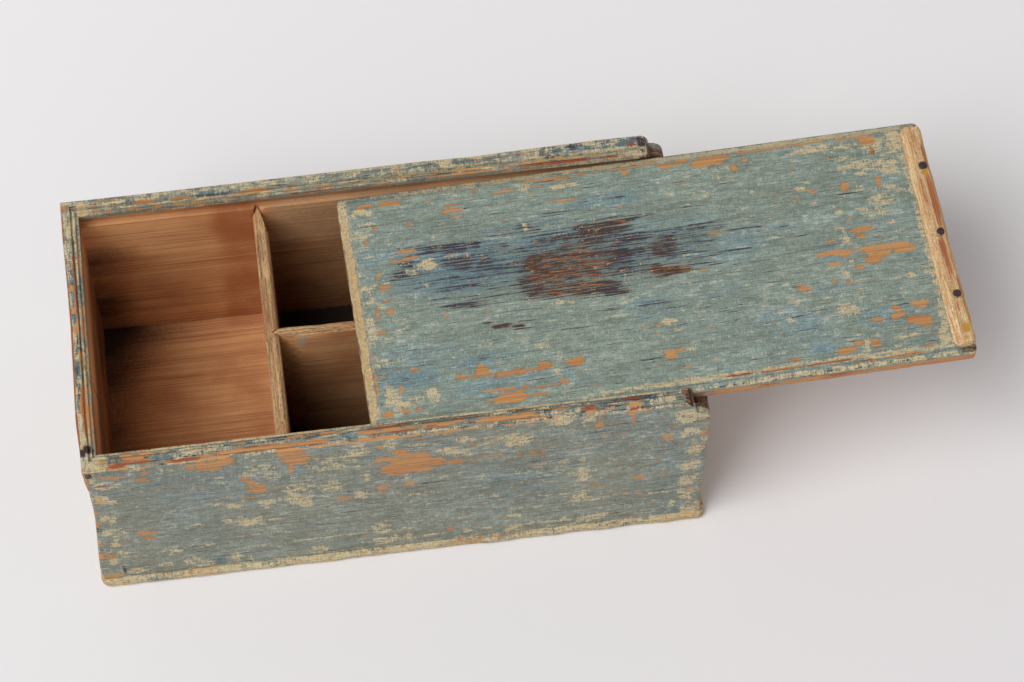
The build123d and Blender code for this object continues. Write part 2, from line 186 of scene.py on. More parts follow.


# Patches of wear. Each is its middle, its half length along the grain and its half width across it, with how
# strong it is. On the lid and its batten the middle is counted from the lid's left end and front edge.
LID_WEAR = {
    "bare": (
        (13.5, 127, 4, 1.1, 1), (25.5, 127.3, 5.5, 1.1, 1), (45, 125, 1.8, 0.8, 1),
        (23.7, 119.4, 0.9, 0.8, 0.9), (30, 119.8, 2, 0.5, 0.8), (55.5, 118.3, 4.8, 1.4, 1),
        (56, 121.3, 4, 0.7, 0.8), (57, 113.6, 2, 0.8, 0.8), (33, 113.5, 2, 0.8, 0.6),
        (11.2, 106.5, 1.2, 1.6, 0.8), (16.5, 113.5, 1.2, 1.2, 0.9), (81, 125.2, 6, 0.8, 1),
        (100.2, 125.3, 1.8, 0.8, 1), (113, 125.2, 1.4, 0.7, 0.9), (68, 128.3, 2, 0.6, 0.8),
        (111, 114.7, 6.5, 0.7, 1), (143.2, 126.2, 1.3, 2, 1), (116, 128.8, 28, 0.7, 0.9),
        (112, 127.8, 3, 0.9, 0.9), (30, 98.3, 4.2, 1.0, 0.9), (32, 94.1, 5, 1.0, 1),
        (23, 94.4, 4, 0.6, 0.9), (14.5, 86, 1.1, 2, 0.9), (17, 79.8, 3, 1.0, 1),
        (16.5, 74, 1.5, 0.6, 0.8), (21, 71.4, 5, 0.5, 0.8), (17.8, 66.8, 2.2, 1.7, 0.9),
        (11.4, 64.8, 1.1, 4.2, 0.8), (12, 55.3, 1.6, 0.7, 0.9), (44, 59.7, 1.3, 1.4, 0.9),
        (52, 55.5, 0.6, 1.5, 0.7), (6.5, 42.8, 1.8, 0.8, 0.9), (6.3, 40, 1, 1, 0.8),
        (32, 43.3, 1, 0.6, 0.8), (5.3, 28, 0.8, 7, 0.85), (24.5, 33, 2, 0.6, 0.8), (56, 26.5, 3, 3.3, 1),
        (46, 24.6, 3, 1, 0.9), (45, 27.6, 1.5, 0.6, 0.7), (66, 23.7, 16, 0.8, 0.9),
        (73, 25.2, 1.2, 0.9, 1), (70, 22.4, 8, 1.0, 0.8), (86.8, 25, 3.2, 2.3, 1),
        (96.5, 25, 1.6, 0.7, 0.9), (102, 24.6, 3.2, 2.4, 1), (16.8, 22.5, 1.3, 2.2, 0.9),
        (66, 14.8, 12, 0.5, 1), (86, 14.2, 11, 0.5, 0.95), (68, 10.4, 7, 3.0, 1), (60, 9.3, 7, 1.0, 0.9),
        (82, 9.6, 5, 0.9, 0.9), (69, 7.6, 5, 0.8, 0.9), (94.3, 15, 1.7, 0.9, 1), (95, 9.7, 2, 0.6, 0.8),
        (102.2, 17.3, 1.2, 0.7, 0.9), (110, 10.2, 2.2, 0.6, 0.7), (9, 10, 2.5, 2, 0.9),
        (17.5, 10.6, 2.2, 1.1, 0.9), (23.5, 10.4, 2, 1.2, 0.9), (22, 15, 0.7, 1, 0.8),
        (147, 21.3, 3, 2.4, 1), (152, 23.3, 3, 0.7, 1), (144, 37.6, 1, 0.9, 0.9),
        (129, 51.2, 1.2, 0.6, 0.7), (163.5, 126.8, 3.5, 1.6, 1), (186, 126.4, 10, 2.6, 1),
        (171.5, 128.5, 5, 0.9, 1), (223, 129, 27, 0.7, 1), (260, 128.8, 9, 0.6, 0.9),
        (150, 129.2, 9, 0.7, 0.9), (265.5, 126, 4, 2.6, 1), (267.2, 119.6, 0.8, 3, 0.9),
        (203, 124.3, 2, 1, 1), (197.5, 120.8, 1.8, 1.8, 1), (195, 118, 1.5, 0.8, 0.8),
        (193.3, 113.6, 1.2, 0.7, 0.8), (237.5, 115.3, 2.5, 0.6, 0.8), (223.5, 114.5, 1.5, 0.6, 0.7),
        (244.5, 119, 0.9, 0.9, 0.9), (233.2, 101.3, 2.7, 1.1, 1), (242, 101.3, 1.2, 0.6, 0.8),
        (249.2, 101.4, 2.3, 2.4, 1), (266.3, 102.2, 1.6, 2.4, 1), (254, 79.5, 1.4, 0.6, 0.9),
        (247.7, 82.3, 2.2, 0.5, 0.8), (252, 75.6, 5.6, 1.6, 1), (250.7, 72.3, 3, 1.6, 1),
        (236.3, 71.8, 2.8, 0.7, 0.9), (260.5, 70.5, 3.5, 0.6, 0.8), (274, 70.5, 1.4, 0.6, 0.8),
        (236.3, 64.4, 9.3, 1.5, 1), (240.8, 62.4, 2, 1.2, 1), (261, 64.6, 14.6, 1.7, 1),
        (257.5, 61.2, 6, 2.1, 1), (270.2, 61.5, 5.5, 2.2, 1), (254, 57.8, 4, 1.9, 1),
        (247, 54.6, 2, 1.6, 1), (259.5, 57.4, 1.5, 0.5, 0.8), (235, 57.8, 3.6, 1, 1),
        (240.2, 58.4, 0.8, 0.8, 0.8), (232.7, 48.8, 1.2, 1.1, 0.9), (239.5, 46.4, 2, 0.7, 0.8),
        (269.2, 46.8, 0.7, 0.6, 0.8), (216.8, 47, 3.2, 1.7, 1), (249, 24.6, 2.6, 1.2, 1),
        (244.7, 23.7, 2, 0.6, 0.9), (259.8, 28.4, 2, 2.2, 1), (259, 25.4, 3.6, 1.2, 1),
        (271.5, 29.7, 4.2, 2.1, 1), (268.5, 21.6, 6.4, 2.4, 1), (272.5, 19, 3.4, 1.7, 1),
        (258, 24, 2, 1, 0.9), (231, 10.2, 4.5, 1.7, 1), (237.5, 13.2, 2.6, 1, 0.95),
        (245.5, 11.4, 2.4, 2.9, 0.85), (205.5, 8.8, 2.5, 0.8, 1), (200.3, 8.4, 2, 0.5, 0.8),
        (154, 13.1, 1.4, 0.9, 0.9), (149, 12, 1, 0.6, 0.7), (270, 6, 3, 0.6, 0.8), (255, 3, 3, 0.5, 0.7),
        (178, 5, 8, 0.7, 0.9), (212, 4.8, 24, 0.6, 0.9), (223, 97, 1.2, 0.9, 0.9),
        (180.5, 85.3, 3.5, 0.5, 0.9), (171.5, 65, 2, 1.2, 0.7), (251, 3.4, 20, 0.5, 0.6),
        (144.5, 108.2, 1, 0.5, 0.6),
    ),
    "cream": (
        (9.5, 123.5, 4, 2.6, 0.9), (15, 123, 2, 2, 0.8), (12, 116.6, 4, 1.1, 0.9), (9, 111, 4, 2.5, 0.6),
        (14.5, 110.5, 1.5, 4, 0.5), (9, 106, 2.4, 5, 0.45), (11, 97.4, 4, 0.8, 0.6),
        (7.5, 90, 3, 4, 0.45), (9.5, 80.8, 4, 0.8, 1), (9, 74.5, 2.6, 5, 0.65), (13.8, 69.6, 2.2, 0.8, 1),
        (7.4, 57, 1.8, 8, 0.85), (14, 51.2, 3.5, 0.8, 0.8), (3.5, 45, 1.5, 5, 0.9),
        (9, 38, 4.5, 2.2, 0.6), (18, 38, 4, 1.8, 0.4), (12.5, 19, 4.5, 5.3, 0.85), (17, 13, 4, 3, 0.85),
        (26, 16.5, 6, 1.8, 0.7), (31.5, 17, 2.8, 4.5, 0.8), (27, 124.3, 10, 1, 0.5),
        (48, 127.5, 12, 1.1, 0.5), (91.5, 126.2, 3.4, 3, 0.7), (109.5, 123.6, 3.8, 1.4, 0.95),
        (116.7, 123.5, 2, 1.2, 0.85), (89.8, 102.6, 1.3, 3, 0.7), (38.5, 89, 6, 3.6, 0.72),
        (31, 86, 3, 2, 0.7), (55, 92, 8, 1.6, 0.4), (36.5, 79, 2, 2, 0.4), (87, 35.5, 3.8, 0.9, 1),
        (71, 40.8, 6, 0.6, 0.45), (60, 40, 3.5, 0.8, 0.5), (92.5, 20, 2, 3, 0.6), (98, 12.5, 4, 0.8, 0.5),
        (99.5, 58, 2.2, 1.4, 0.75), (105, 57, 2, 3, 0.5), (150, 39, 4, 1.8, 0.75),
        (152.5, 35.5, 1.6, 2.4, 0.6), (134, 33, 1.2, 2, 0.5), (237, 125.2, 10, 2.2, 0.95),
        (255, 124, 6, 1.4, 0.8), (252.5, 117.5, 5, 2, 0.75), (251.7, 111.5, 4.5, 2, 0.8),
        (257.5, 107, 4.5, 1.4, 0.65), (272.5, 110.5, 6.5, 5, 0.85), (268, 123, 6, 5, 0.7),
        (262, 112, 7, 3.5, 0.75), (270, 96, 7, 3, 0.65), (256, 99, 3, 1.5, 0.7), (262, 84, 8, 2.5, 0.55),
        (278.5, 123.5, 4, 8, 0.95), (175.2, 108.2, 1.2, 1.8, 0.9), (182.5, 107.4, 2.8, 1.8, 0.6),
        (203.4, 105.7, 1.2, 1, 0.9), (227.3, 103.8, 2.7, 1.3, 0.9), (231, 106.4, 1, 0.8, 0.7),
        (192, 120.5, 5, 2, 0.4), (188.5, 116.7, 3, 0.8, 0.6), (180.3, 121.3, 1, 1.4, 0.5),
        (241.5, 90, 1, 3.5, 0.6), (243, 86.8, 2.2, 1.2, 0.9), (243.2, 74, 1.4, 4, 0.7),
        (243, 69.6, 2.5, 1.1, 0.8), (254.5, 87.2, 3, 0.8, 0.9), (265.5, 91, 6, 3.2, 0.75),
        (290, 2.6, 5, 3, 0.9), (289, 131, 6, 2, 0.9), (266, 78, 6.4, 1, 0.6), (271, 72.5, 3, 1.5, 0.4),
        (243.5, 58.2, 1.7, 1.2, 0.95), (239.6, 50.8, 1.8, 2.8, 0.75), (248, 47.4, 8, 0.7, 0.7),
        (265, 46.4, 8, 0.6, 0.5), (271, 46, 2, 2.5, 0.5), (227.8, 40.1, 2.6, 1, 0.9),
        (236.3, 32.2, 4.7, 4.5, 0.85), (239, 17.6, 2, 1, 0.7), (241, 11.5, 1.8, 4, 0.8),
        (261, 13.5, 6.4, 1.3, 0.85), (255.8, 8.8, 2.2, 1.3, 0.8), (280.5, 20, 2.4, 6, 0.8),
        (279.3, 10.2, 3.6, 4, 0.85), (282, 103, 1.8, 13, 0.8), (281.6, 75, 1.6, 11, 0.75),
        (281.6, 57, 1.4, 8, 0.8), (279.3, 47, 3, 1, 0.7), (281.5, 43.5, 1.6, 6, 0.8),
        (281.2, 31, 1.6, 7, 0.85), (158.5, 22.5, 4, 1, 0.6), (166, 22, 3, 0.8, 0.4),
        (165, 15.3, 5, 0.5, 0.4), (209, 31, 1.8, 1.6, 0.5), (205, 19, 6, 3, 0.35),
        (187, 20, 3.5, 0.8, 0.4), (1.6, 67, 2.6, 70, 1.2), (4.4, 67, 1.2, 70, 0.8),
        (205, 131.6, 95, 1.7, 1.1), (80, 132.0, 60, 1.8, 0.8), (200, 5.6, 90, 1.5, 0.9),
        (200, 1.4, 90, 1.2, 0.75), (251, 4.4, 15, 1, 0.85), (210, 2.4, 45, 0.7, 0.5),
        (275, 5, 10, 1.2, 0.7), (33, 75, 6, 8, 0.2), (213, 101, 5, 5, 0.3), (237, 78, 5, 4, 0.3),
    ),
    "stain": (
        (60, 86, 36, 12, 0.38), (112, 82, 36, 18, 0.46), (160, 80, 20, 13, 0.44), (138, 84, 16, 9, 0.62),
        (118, 80, 9, 10, 0.7), (42, 98, 20, 2.2, 0.6), (38, 97.5, 9, 2.2, 0.72), (55, 95.5, 9, 2.6, 0.78),
        (63.5, 96.5, 2.6, 2.6, 0.85), (54, 87.5, 8, 4, 0.85), (26, 87, 4, 3, 0.6), (25, 84, 6, 1.8, 0.62),
        (29, 91, 4, 3, 0.68), (66, 84, 6, 7, 0.5), (51, 79.5, 3.5, 2.4, 0.6), (60, 73.5, 22, 1.0, 0.52),
        (60, 69, 22, 0.7, 0.52), (72, 66.2, 24, 0.7, 0.58), (54, 63.8, 10, 2.0, 0.72),
        (79, 100.5, 8, 1.2, 0.72), (76, 95.3, 5, 1.2, 0.5), (89, 100.2, 9, 1.3, 0.78),
        (89, 102.5, 4, 3, 0.55), (84, 90.5, 6, 1.4, 0.62), (86, 86, 8, 4, 0.45), (101, 78, 17, 10.5, 0.9),
        (88, 71, 7, 6, 0.92), (108, 86.5, 12, 2, 0.85), (100, 65.5, 18, 3.8, 1), (118, 63.5, 13, 3.8, 1),
        (127, 59.5, 6, 1.8, 0.88), (127, 97, 14, 4.2, 0.9), (110, 95.5, 10, 0.9, 0.68),
        (95, 95.3, 5, 0.7, 0.6), (118, 89.5, 14, 2.4, 0.8), (133, 98, 10, 2.8, 0.9),
        (134, 77, 5, 8, 0.82), (117.5, 76, 5, 7, 0.88), (146, 100.2, 9, 1.1, 0.8),
        (142, 92, 18, 0.7, 0.7), (149, 69, 3, 4, 0.9), (108, 109, 13, 0.9, 0.62),
        (134, 113.3, 7, 0.7, 0.58), (124, 49.8, 6, 0.5, 0.6), (145, 50.3, 8, 1.1, 0.6),
        (63, 51.7, 2, 1, 1), (69.5, 49.6, 4.5, 1.4, 1), (77.5, 48, 3, 1.2, 1),
        (57.5, 33.2, 2.6, 0.8, 0.6), (19.5, 27.8, 2.6, 1.2, 0.58), (144, 78, 4, 12, 0.55),
        (127, 77, 4, 8, 0.72), (175, 91.2, 10, 0.6, 0.55), (154.5, 82.5, 7.5, 6, 0.78),
        (176, 87.2, 12, 0.7, 0.72), (155, 77.8, 8, 1.8, 0.88), (175, 79.6, 8, 0.6, 0.68),
        (195, 85.2, 8, 0.6, 0.7), (178, 73.5, 11, 0.9, 0.52), (192, 73.5, 5, 0.5, 0.5),
        (156, 67, 9, 2.2, 1), (170, 70, 6, 1.3, 0.82), (180, 68, 10, 0.6, 0.6), (193, 65, 6, 0.5, 0.5),
        (151.5, 63.8, 3, 1.2, 0.6), (216, 83, 4.5, 0.5, 0.4), (164, 96, 8, 4, 0.3), (171, 80, 9, 9, 0.32),
        (214, 48.5, 2.4, 0.6, 0.9), (215, 0.9, 55, 0.6, 0.85), (75, 78, 14, 14, 0.3),
        (160, 0.6, 20, 0.4, 0.5),
    ),
    "blue": (
        (25, 92, 20, 10, 0.6), (55, 84, 36, 16, 0.9), (30, 40, 25, 10, 0.5), (20, 28, 16, 5, 0.8),
        (60, 33, 20, 4, 0.6), (78, 17, 30, 4, 0.6), (90, 104, 24, 4, 0.6), (130, 112, 20, 4, 0.6),
        (145, 48, 12, 7, 0.45), (178, 52, 12, 8, 0.45), (160, 96, 16, 4, 0.7), (220, 13, 7, 3, 0.7),
        (235, 66, 8, 6, 0.7), (250, 26, 8, 5, 0.8), (266, 25, 10, 7, 0.6), (230, 45, 8, 6, 0.5),
        (199, 84, 18, 3, 0.5), (268, 101, 4, 4, 0.6), (150, 82, 24, 16, 0.8), (105, 84, 34, 18, 0.9),
        (190, 76, 16, 10, 0.6), (169, 93, 14, 10, 0.5), (208, 28, 16, 12, 0.45),
    ),
    "deep": (
        (205, 2.4, 90, 1.2, 0.6), (56, 85, 32, 11, 0.58), (112, 82, 36, 16, 0.62),
        (165, 80, 20, 12, 0.52), (24, 28, 10, 4, 0.35), (50, 100, 26, 2, 0.4), (225, 126, 4, 2, 0.5),
    ),
    "ochre": (
        (2.4, 67, 1.6, 70, 0.55), (150, 131.6, 150, 1.6, 0.3), (195, 5.4, 90, 1.2, 0.3),
        (290, 2.4, 5, 3, 0.5), (213, 101.5, 6, 6, 0.7), (237, 78, 5, 5, 0.6), (8, 17, 8, 8, 0.12),
        (10, 122, 8, 8, 0.15),
    ),
    "red": (
        (106, 76, 24, 17, 0.9), (155, 68, 14, 5, 0.9), (128, 97, 14, 4, 0.7), (155, 82, 9, 6, 0.6),
        (54, 87, 8, 4, 0.4), (70, 50, 10, 3, 0.8), (215, 4.6, 40, 0.8, 0.6), (178, 5, 8, 0.8, 0.8),
        (267, 120, 2, 4, 0.6), (214, 48.4, 3, 0.8, 0.7), (110, 129, 30, 0.6, 0.3),
    ),
    "grime": (
        (225, 3.4, 70, 0.3, 0.4), (222, 130.4, 75, 0.3, 0.3), (4.7, 67, 0.5, 66, 0.5),
        (0.8, 67, 0.4, 66, 0.4), (283.3, 67, 0.5, 64, 0.6), (289, 131.6, 6, 1.6, 0.5),
        (290, 2.4, 6, 1.6, 0.8), (200, 3.4, 90, 0.5, 0.4),
    ),
}
BATTEN_WEAR = {
    "red": (
        (289.9, 84, 1.4, 17, 1), (286.3, 88, 0.5, 13, 0.75), (288.6, 53, 1.6, 11, 1),
        (288.5, 50, 0.5, 14, 0.9), (288.2, 23.3, 0.6, 3, 0.9), (288.6, 118, 0.5, 8, 0.6),
        (291.2, 110, 0.9, 8, 0.8), (291.6, 30, 0.8, 12, 0.7), (285.4, 70, 0.4, 34, 0.45),
        (291.6, 52, 0.6, 26, 0.4),
    ),
    "ochre": (
        (289.3, 101.2, 1.6, 1.9, 1), (289.2, 11.5, 2.2, 3, 0.85), (291.8, 18, 0.9, 5, 0.8),
        (288, 6, 1.6, 1.4, 0.7), (283.4, 70, 0.6, 50, 0.3),
    ),
    "bare": (
        (292, 84, 0.8, 20, 0.8), (287, 40, 1.6, 12, 0.3), (284.6, 100, 0.8, 26, 0.4),
        (286.5, 120, 1.4, 8, 0.4),
    ),
}

# On the walls the middle is counted from the box's left end, or its front, and up from the floor. On their
# rims it is counted in from the outer face, and on the long divider from the box's middle.
FRONT_WEAR = {
    "bare": (
        (66, 115, 6, 4, 1), (57.5, 114, 3, 4.4, 0.95), (62, 110, 5, 1.2, 1), (61, 108, 0.7, 1.8, 0.9),
        (51.5, 113.8, 2, 3, 1), (46.6, 114.8, 1.1, 1.8, 0.9), (43.7, 111.5, 0.7, 0.8, 0.8),
        (18.7, 112.2, 3, 1, 1), (16, 110.6, 2.4, 0.7, 0.9), (30.5, 114, 2, 1.8, 0.95),
        (27.5, 107.6, 3, 1.6, 1), (30.5, 105.5, 2, 1, 0.9), (21.2, 118, 0.8, 1.5, 0.8),
        (8.6, 115.6, 0.6, 1.5, 0.7), (99, 117, 6.2, 3, 1), (101.5, 110.5, 6.8, 3.5, 1),
        (101, 105.8, 4.6, 1.6, 1), (98.6, 101, 1.4, 3.4, 1), (98.2, 95.8, 0.8, 1.2, 0.9),
        (94, 101, 0.7, 1.5, 0.9), (106.3, 101, 1.2, 1.6, 0.8), (76, 95.3, 1.9, 1.8, 1),
        (78.6, 90.6, 1.7, 3.2, 1), (82.5, 87.3, 2.3, 1.6, 1), (79.5, 84.3, 6.2, 1.3, 1),
        (82, 81.7, 3.3, 2, 1), (89.8, 81.2, 1.2, 1.2, 0.9), (87.8, 88.5, 0.6, 1, 0.7),
        (76.3, 75.8, 4, 1.2, 0.75), (157, 96, 10, 3.6, 1), (155, 90, 12, 4.4, 1), (168, 91, 4, 4.6, 1),
        (177, 89, 5.4, 2.2, 1), (151.5, 105.5, 2, 2.4, 1), (157, 101, 8, 2.2, 1), (158, 84.8, 8, 2, 1),
        (144, 99, 6, 2, 1), (138, 93.8, 4.4, 0.7, 0.95), (146, 89, 5.2, 4, 1), (147.5, 84.2, 3.4, 2, 1),
        (149, 105, 1.4, 3, 1), (143.3, 105, 0.8, 1.4, 0.9), (141, 112.4, 1.5, 2, 1),
        (141.2, 71.2, 2.5, 2.9, 1), (136, 72, 0.6, 1.4, 0.8), (141.5, 65, 3.6, 0.6, 0.8),
        (122.8, 65, 4, 1, 1), (120.7, 62.8, 1.2, 1.2, 0.9), (54.6, 95, 0.7, 1.9, 0.9),
        (25, 51.7, 4.2, 2.3, 1), (25.6, 50.4, 5, 0.9, 0.9), (25.4, 45.5, 3.6, 1, 1),
        (9, 104.4, 3.4, 0.8, 0.9), (29, 70.6, 2.2, 0.7, 0.6), (36.8, 65.4, 1.6, 0.8, 0.7),
        (44.3, 43, 1, 1, 0.8), (67.5, 59.6, 0.9, 0.9, 0.8), (72.5, 59.8, 0.7, 0.9, 0.7),
        (83.2, 60.2, 1.3, 0.8, 0.7), (20, 28.6, 1, 1.4, 0.85), (17.6, 24.2, 0.8, 0.8, 0.8),
        (24.8, 19.6, 1.4, 0.9, 0.8), (15, 18.6, 0.7, 0.8, 0.7), (131, 20.2, 1.5, 1.1, 0.85),
        (3.5, 46.5, 1.4, 2.5, 0.8), (3, 101.5, 1, 1.6, 0.8), (3, 80.5, 0.9, 2, 0.7), (4.5, 8, 5, 2, 0.8),
        (1, 112, 1.2, 7, 0.95), (12, 112.4, 3, 0.8, 0.9), (158.8, 116.6, 3.4, 0.8, 0.95),
        (172.6, 115, 0.8, 1, 0.7), (194, 115.6, 1, 1.2, 0.85), (186, 104.4, 1.6, 1.2, 0.9),
        (194.2, 103, 0.8, 1.6, 0.85), (194.5, 91.1, 6, 0.5, 0.8), (185.8, 87.8, 1.7, 0.9, 0.9),
        (191.5, 87.8, 1, 0.9, 0.9), (207.2, 90.5, 0.8, 2.6, 0.9), (209, 86.8, 1.2, 1, 0.8),
        (213.6, 90, 0.9, 1.6, 0.9), (215, 87.4, 1, 1.6, 0.9), (219, 89, 1.2, 2.8, 0.95),
        (218.3, 98.6, 1.3, 1.3, 0.95), (221.8, 94.8, 0.7, 1.2, 0.8), (226, 96.2, 1, 1.1, 0.85),
        (245.6, 109, 2.4, 2.4, 1), (246.4, 111.6, 1.5, 2, 1), (246.4, 117, 0.9, 2.6, 0.8),
        (262, 116, 1.2, 3, 0.95), (262.6, 110, 0.9, 2.6, 0.95), (266, 119, 3.6, 0.7, 0.8),
        (213.8, 115.4, 1.8, 1, 0.8), (256, 96, 2.6, 1.1, 0.95), (258, 98.5, 1.2, 1.1, 0.85),
        (248.6, 98.8, 2.2, 0.8, 0.75), (264.3, 90.6, 1.3, 0.6, 0.8), (272.8, 89.8, 0.9, 1.2, 0.85),
        (280.5, 93.3, 1.4, 2.4, 0.9), (278.3, 89.8, 1.2, 1.8, 0.95), (281.7, 88.5, 0.9, 2.4, 0.9),
        (279.6, 86.6, 1.6, 1, 0.9), (273.5, 98.6, 1.4, 1, 0.8), (283, 98.6, 2, 1, 0.9),
        (277.8, 109.4, 0.9, 1.1, 0.85), (154.4, 72.2, 1.8, 2.2, 0.95), (244.6, 48, 2.4, 1.5, 0.95),
        (267.5, 50.2, 3.3, 1.8, 1), (277.5, 52, 3.6, 0.8, 0.75), (187.8, 52.2, 1.2, 1, 0.65),
        (252.5, 51.8, 0.8, 0.9, 0.65), (173, 18.4, 2, 1.9, 0.95), (163, 18, 1, 1, 0.9),
        (258, 63.8, 1.4, 0.8, 0.65), (263.5, 65.2, 0.7, 1.2, 0.7), (275.6, 66, 0.9, 1, 0.8),
        (286.5, 64.4, 1, 1.2, 0.8), (248.3, 71.2, 0.7, 1.6, 0.65), (267, 32.4, 2.2, 0.7, 0.6),
        (265, 20.2, 0.8, 0.8, 0.7), (274.6, 20.9, 1.4, 0.8, 0.65), (297.2, 83, 1.2, 6, 0.95),
        (298, 90, 2, 2, 0.9), (298.5, 96.8, 2, 1.6, 0.85), (296.8, 66, 1.2, 1.8, 0.9),
        (295.6, 117, 1.4, 1.6, 0.9), (53.5, 6.8, 2.6, 1, 0.8), (46, 6.8, 2.6, 0.9, 0.7),
        (64, 6.8, 3, 0.8, 0.7),
    ),
    "cream": (
        (6, 91, 4.6, 5, 1), (11, 87, 3.5, 2, 0.85), (10, 102.5, 6, 2, 0.8), (15, 104, 5, 2, 0.7),
        (8, 107, 3, 1.6, 0.8), (4.5, 112, 2, 3, 0.8), (26, 118, 4, 1.6, 0.6), (40, 113, 4, 3, 0.45),
        (6, 68.5, 3.6, 5, 1), (11.5, 69.5, 2, 4, 0.85), (8, 56.5, 4.5, 3, 0.75), (14, 54, 2, 2, 0.7),
        (7, 48.5, 4, 3.5, 0.85), (9, 42.5, 2.4, 2.4, 0.8), (6, 29, 1.8, 8, 0.9), (12, 32, 2.4, 5, 0.7),
        (5, 14, 4, 4, 1), (18, 11.5, 6, 3.4, 0.6), (31, 14.5, 5, 2.6, 0.7), (45, 15, 6, 4.6, 0.7),
        (49.5, 10.5, 5, 3, 0.65), (36, 29, 7, 4, 0.5), (54, 31, 2.4, 1, 0.8), (69.3, 69.2, 4, 2.6, 1),
        (61, 73, 3, 2.4, 0.55), (65, 79, 2.6, 2, 0.45), (84.8, 69.5, 4, 3, 0.95),
        (84.5, 64, 1.4, 1.5, 0.85), (90.5, 70.3, 2.6, 1.4, 0.75), (101, 67.5, 6, 6, 0.85),
        (97, 71, 3, 4, 0.8), (104, 63, 3, 3, 0.8), (101, 80, 8, 5, 0.58), (117, 78, 6, 6, 0.62),
        (119, 75, 4, 3, 0.75), (134, 83.5, 1.6, 5, 0.75), (131, 65.5, 3.6, 4, 0.75),
        (113.5, 68, 1.8, 2, 0.7), (84, 105, 8, 5, 0.55), (80, 102, 7, 6, 0.5), (90, 97, 3.5, 5, 0.6),
        (130, 108.5, 6, 2.5, 0.85), (120, 104, 10, 5, 0.55), (116, 97.5, 8, 3, 0.62),
        (127, 98, 5, 4, 0.5), (131, 115, 5, 4, 0.62), (146, 114, 3, 4.6, 0.75),
        (40, 54.4, 2.4, 1.3, 0.85), (49, 54.2, 4.5, 1.4, 0.65), (47, 51.5, 3, 1, 0.45),
        (65, 54, 3, 2.4, 0.8), (75, 50.5, 6.5, 4.5, 0.9), (71, 56.5, 2, 2.4, 0.8), (80, 55, 2, 1.4, 0.7),
        (86.5, 50.6, 4, 1, 0.85), (80, 36, 14, 1.1, 0.65), (88, 35.8, 6, 1, 0.7), (109, 24, 17, 1, 0.85),
        (77, 24, 8, 1, 0.55), (114, 31, 6, 0.9, 0.6), (139, 30, 5, 4.6, 0.62), (141, 23.4, 8, 1, 0.75),
        (66, 14.5, 3, 4.4, 0.85), (73.5, 12, 1.6, 3, 0.7), (108, 12.5, 4.2, 3, 0.8),
        (103, 9.6, 2.4, 1.4, 0.7), (129, 13.4, 1, 1.6, 0.6), (142, 13.5, 9, 3.8, 0.7),
        (162, 109.6, 7, 1.8, 0.75), (182, 110.5, 5.5, 3, 0.7), (174, 101, 6, 3.4, 0.75),
        (180, 98, 6, 4, 0.7), (195, 107, 5, 4, 0.55), (207, 104, 7, 6, 0.85), (198, 109, 4, 2, 0.6),
        (226.5, 116.6, 6.6, 2.8, 0.85), (241.2, 117, 3.2, 2.6, 0.95), (238, 112.5, 0.9, 2.6, 0.5),
        (288, 111.5, 6.5, 4.4, 0.85), (296, 108.5, 4, 4.5, 0.85), (290, 105, 7.5, 4, 0.9),
        (291, 92.5, 5, 4.2, 0.85), (287, 88, 1.6, 2, 0.7), (293.5, 73, 4.4, 4, 0.95),
        (286.5, 83, 1.6, 0.8, 0.6), (292.5, 57, 5, 5, 0.95), (292, 41.5, 4.4, 5, 0.95),
        (291.5, 27, 5, 5.4, 0.85), (286, 31.2, 7, 1.2, 0.85), (284.5, 17, 2, 4, 0.7),
        (293.5, 10, 4.4, 4.4, 0.95), (153, 79, 3.4, 2.4, 0.55), (171.5, 75.8, 2.2, 1.2, 0.65),
        (189.7, 69, 1.4, 1.6, 0.7), (209, 69.5, 3, 1.6, 0.6), (230.5, 76.5, 2.4, 2.6, 0.7),
        (238.7, 76.4, 2.4, 2.8, 0.85), (239, 65, 3.2, 3.6, 0.9), (238, 62.6, 7, 1, 0.8),
        (239.6, 57, 3.6, 3.6, 0.9), (252.3, 73.8, 1.2, 0.8, 0.85), (270.8, 72.4, 0.8, 2, 0.7),
        (222, 57, 2, 0.9, 0.8), (211, 59, 3, 3, 0.5), (154, 59.5, 2, 1.8, 0.7), (163, 59, 6, 3.4, 0.42),
        (195, 48.8, 3.6, 0.8, 0.5), (228, 42.4, 14, 1, 0.7), (237.5, 36, 5, 4.6, 0.7),
        (245, 31.6, 8, 1, 0.8), (234, 32, 4, 1.4, 0.7), (274.5, 31.4, 2.4, 0.8, 0.7),
        (205, 31.5, 6, 1.4, 0.6), (206.5, 24.4, 4.2, 2.1, 0.85), (215.7, 30.6, 1.6, 1.6, 0.7),
        (153, 23.5, 3.6, 1, 0.8), (184, 23.5, 5, 1, 0.5), (162, 31, 14, 5, 0.36),
        (165, 13.5, 6.4, 1.2, 0.95), (181, 13.3, 3, 1.6, 0.9), (191, 13.6, 2.6, 1.1, 0.85),
        (152, 14.5, 2.4, 3.5, 0.85), (206, 12.5, 4, 2.5, 0.85), (203, 9.4, 3, 1.6, 0.8),
        (214.5, 13.8, 4.5, 1.4, 0.8), (227, 13, 8, 1.5, 0.85), (243, 11.5, 7, 3.4, 0.7),
        (248, 14.6, 7, 2, 0.65), (259.5, 12, 1.4, 2.6, 0.55), (270, 12, 10, 3, 0.3),
        (220, 72, 12, 7, 0.36), (110, 90, 12, 3, 0.4), (60, 98, 14, 8, 0.22), (240, 93, 12, 6, 0.25),
        (150, 7.4, 150, 0.7, 0.5),
    ),
    "stain": (
        (124.5, 71, 1.4, 1, 0.9), (215.5, 79.8, 2.2, 1, 0.62), (2.6, 60, 0.8, 2.4, 0.7),
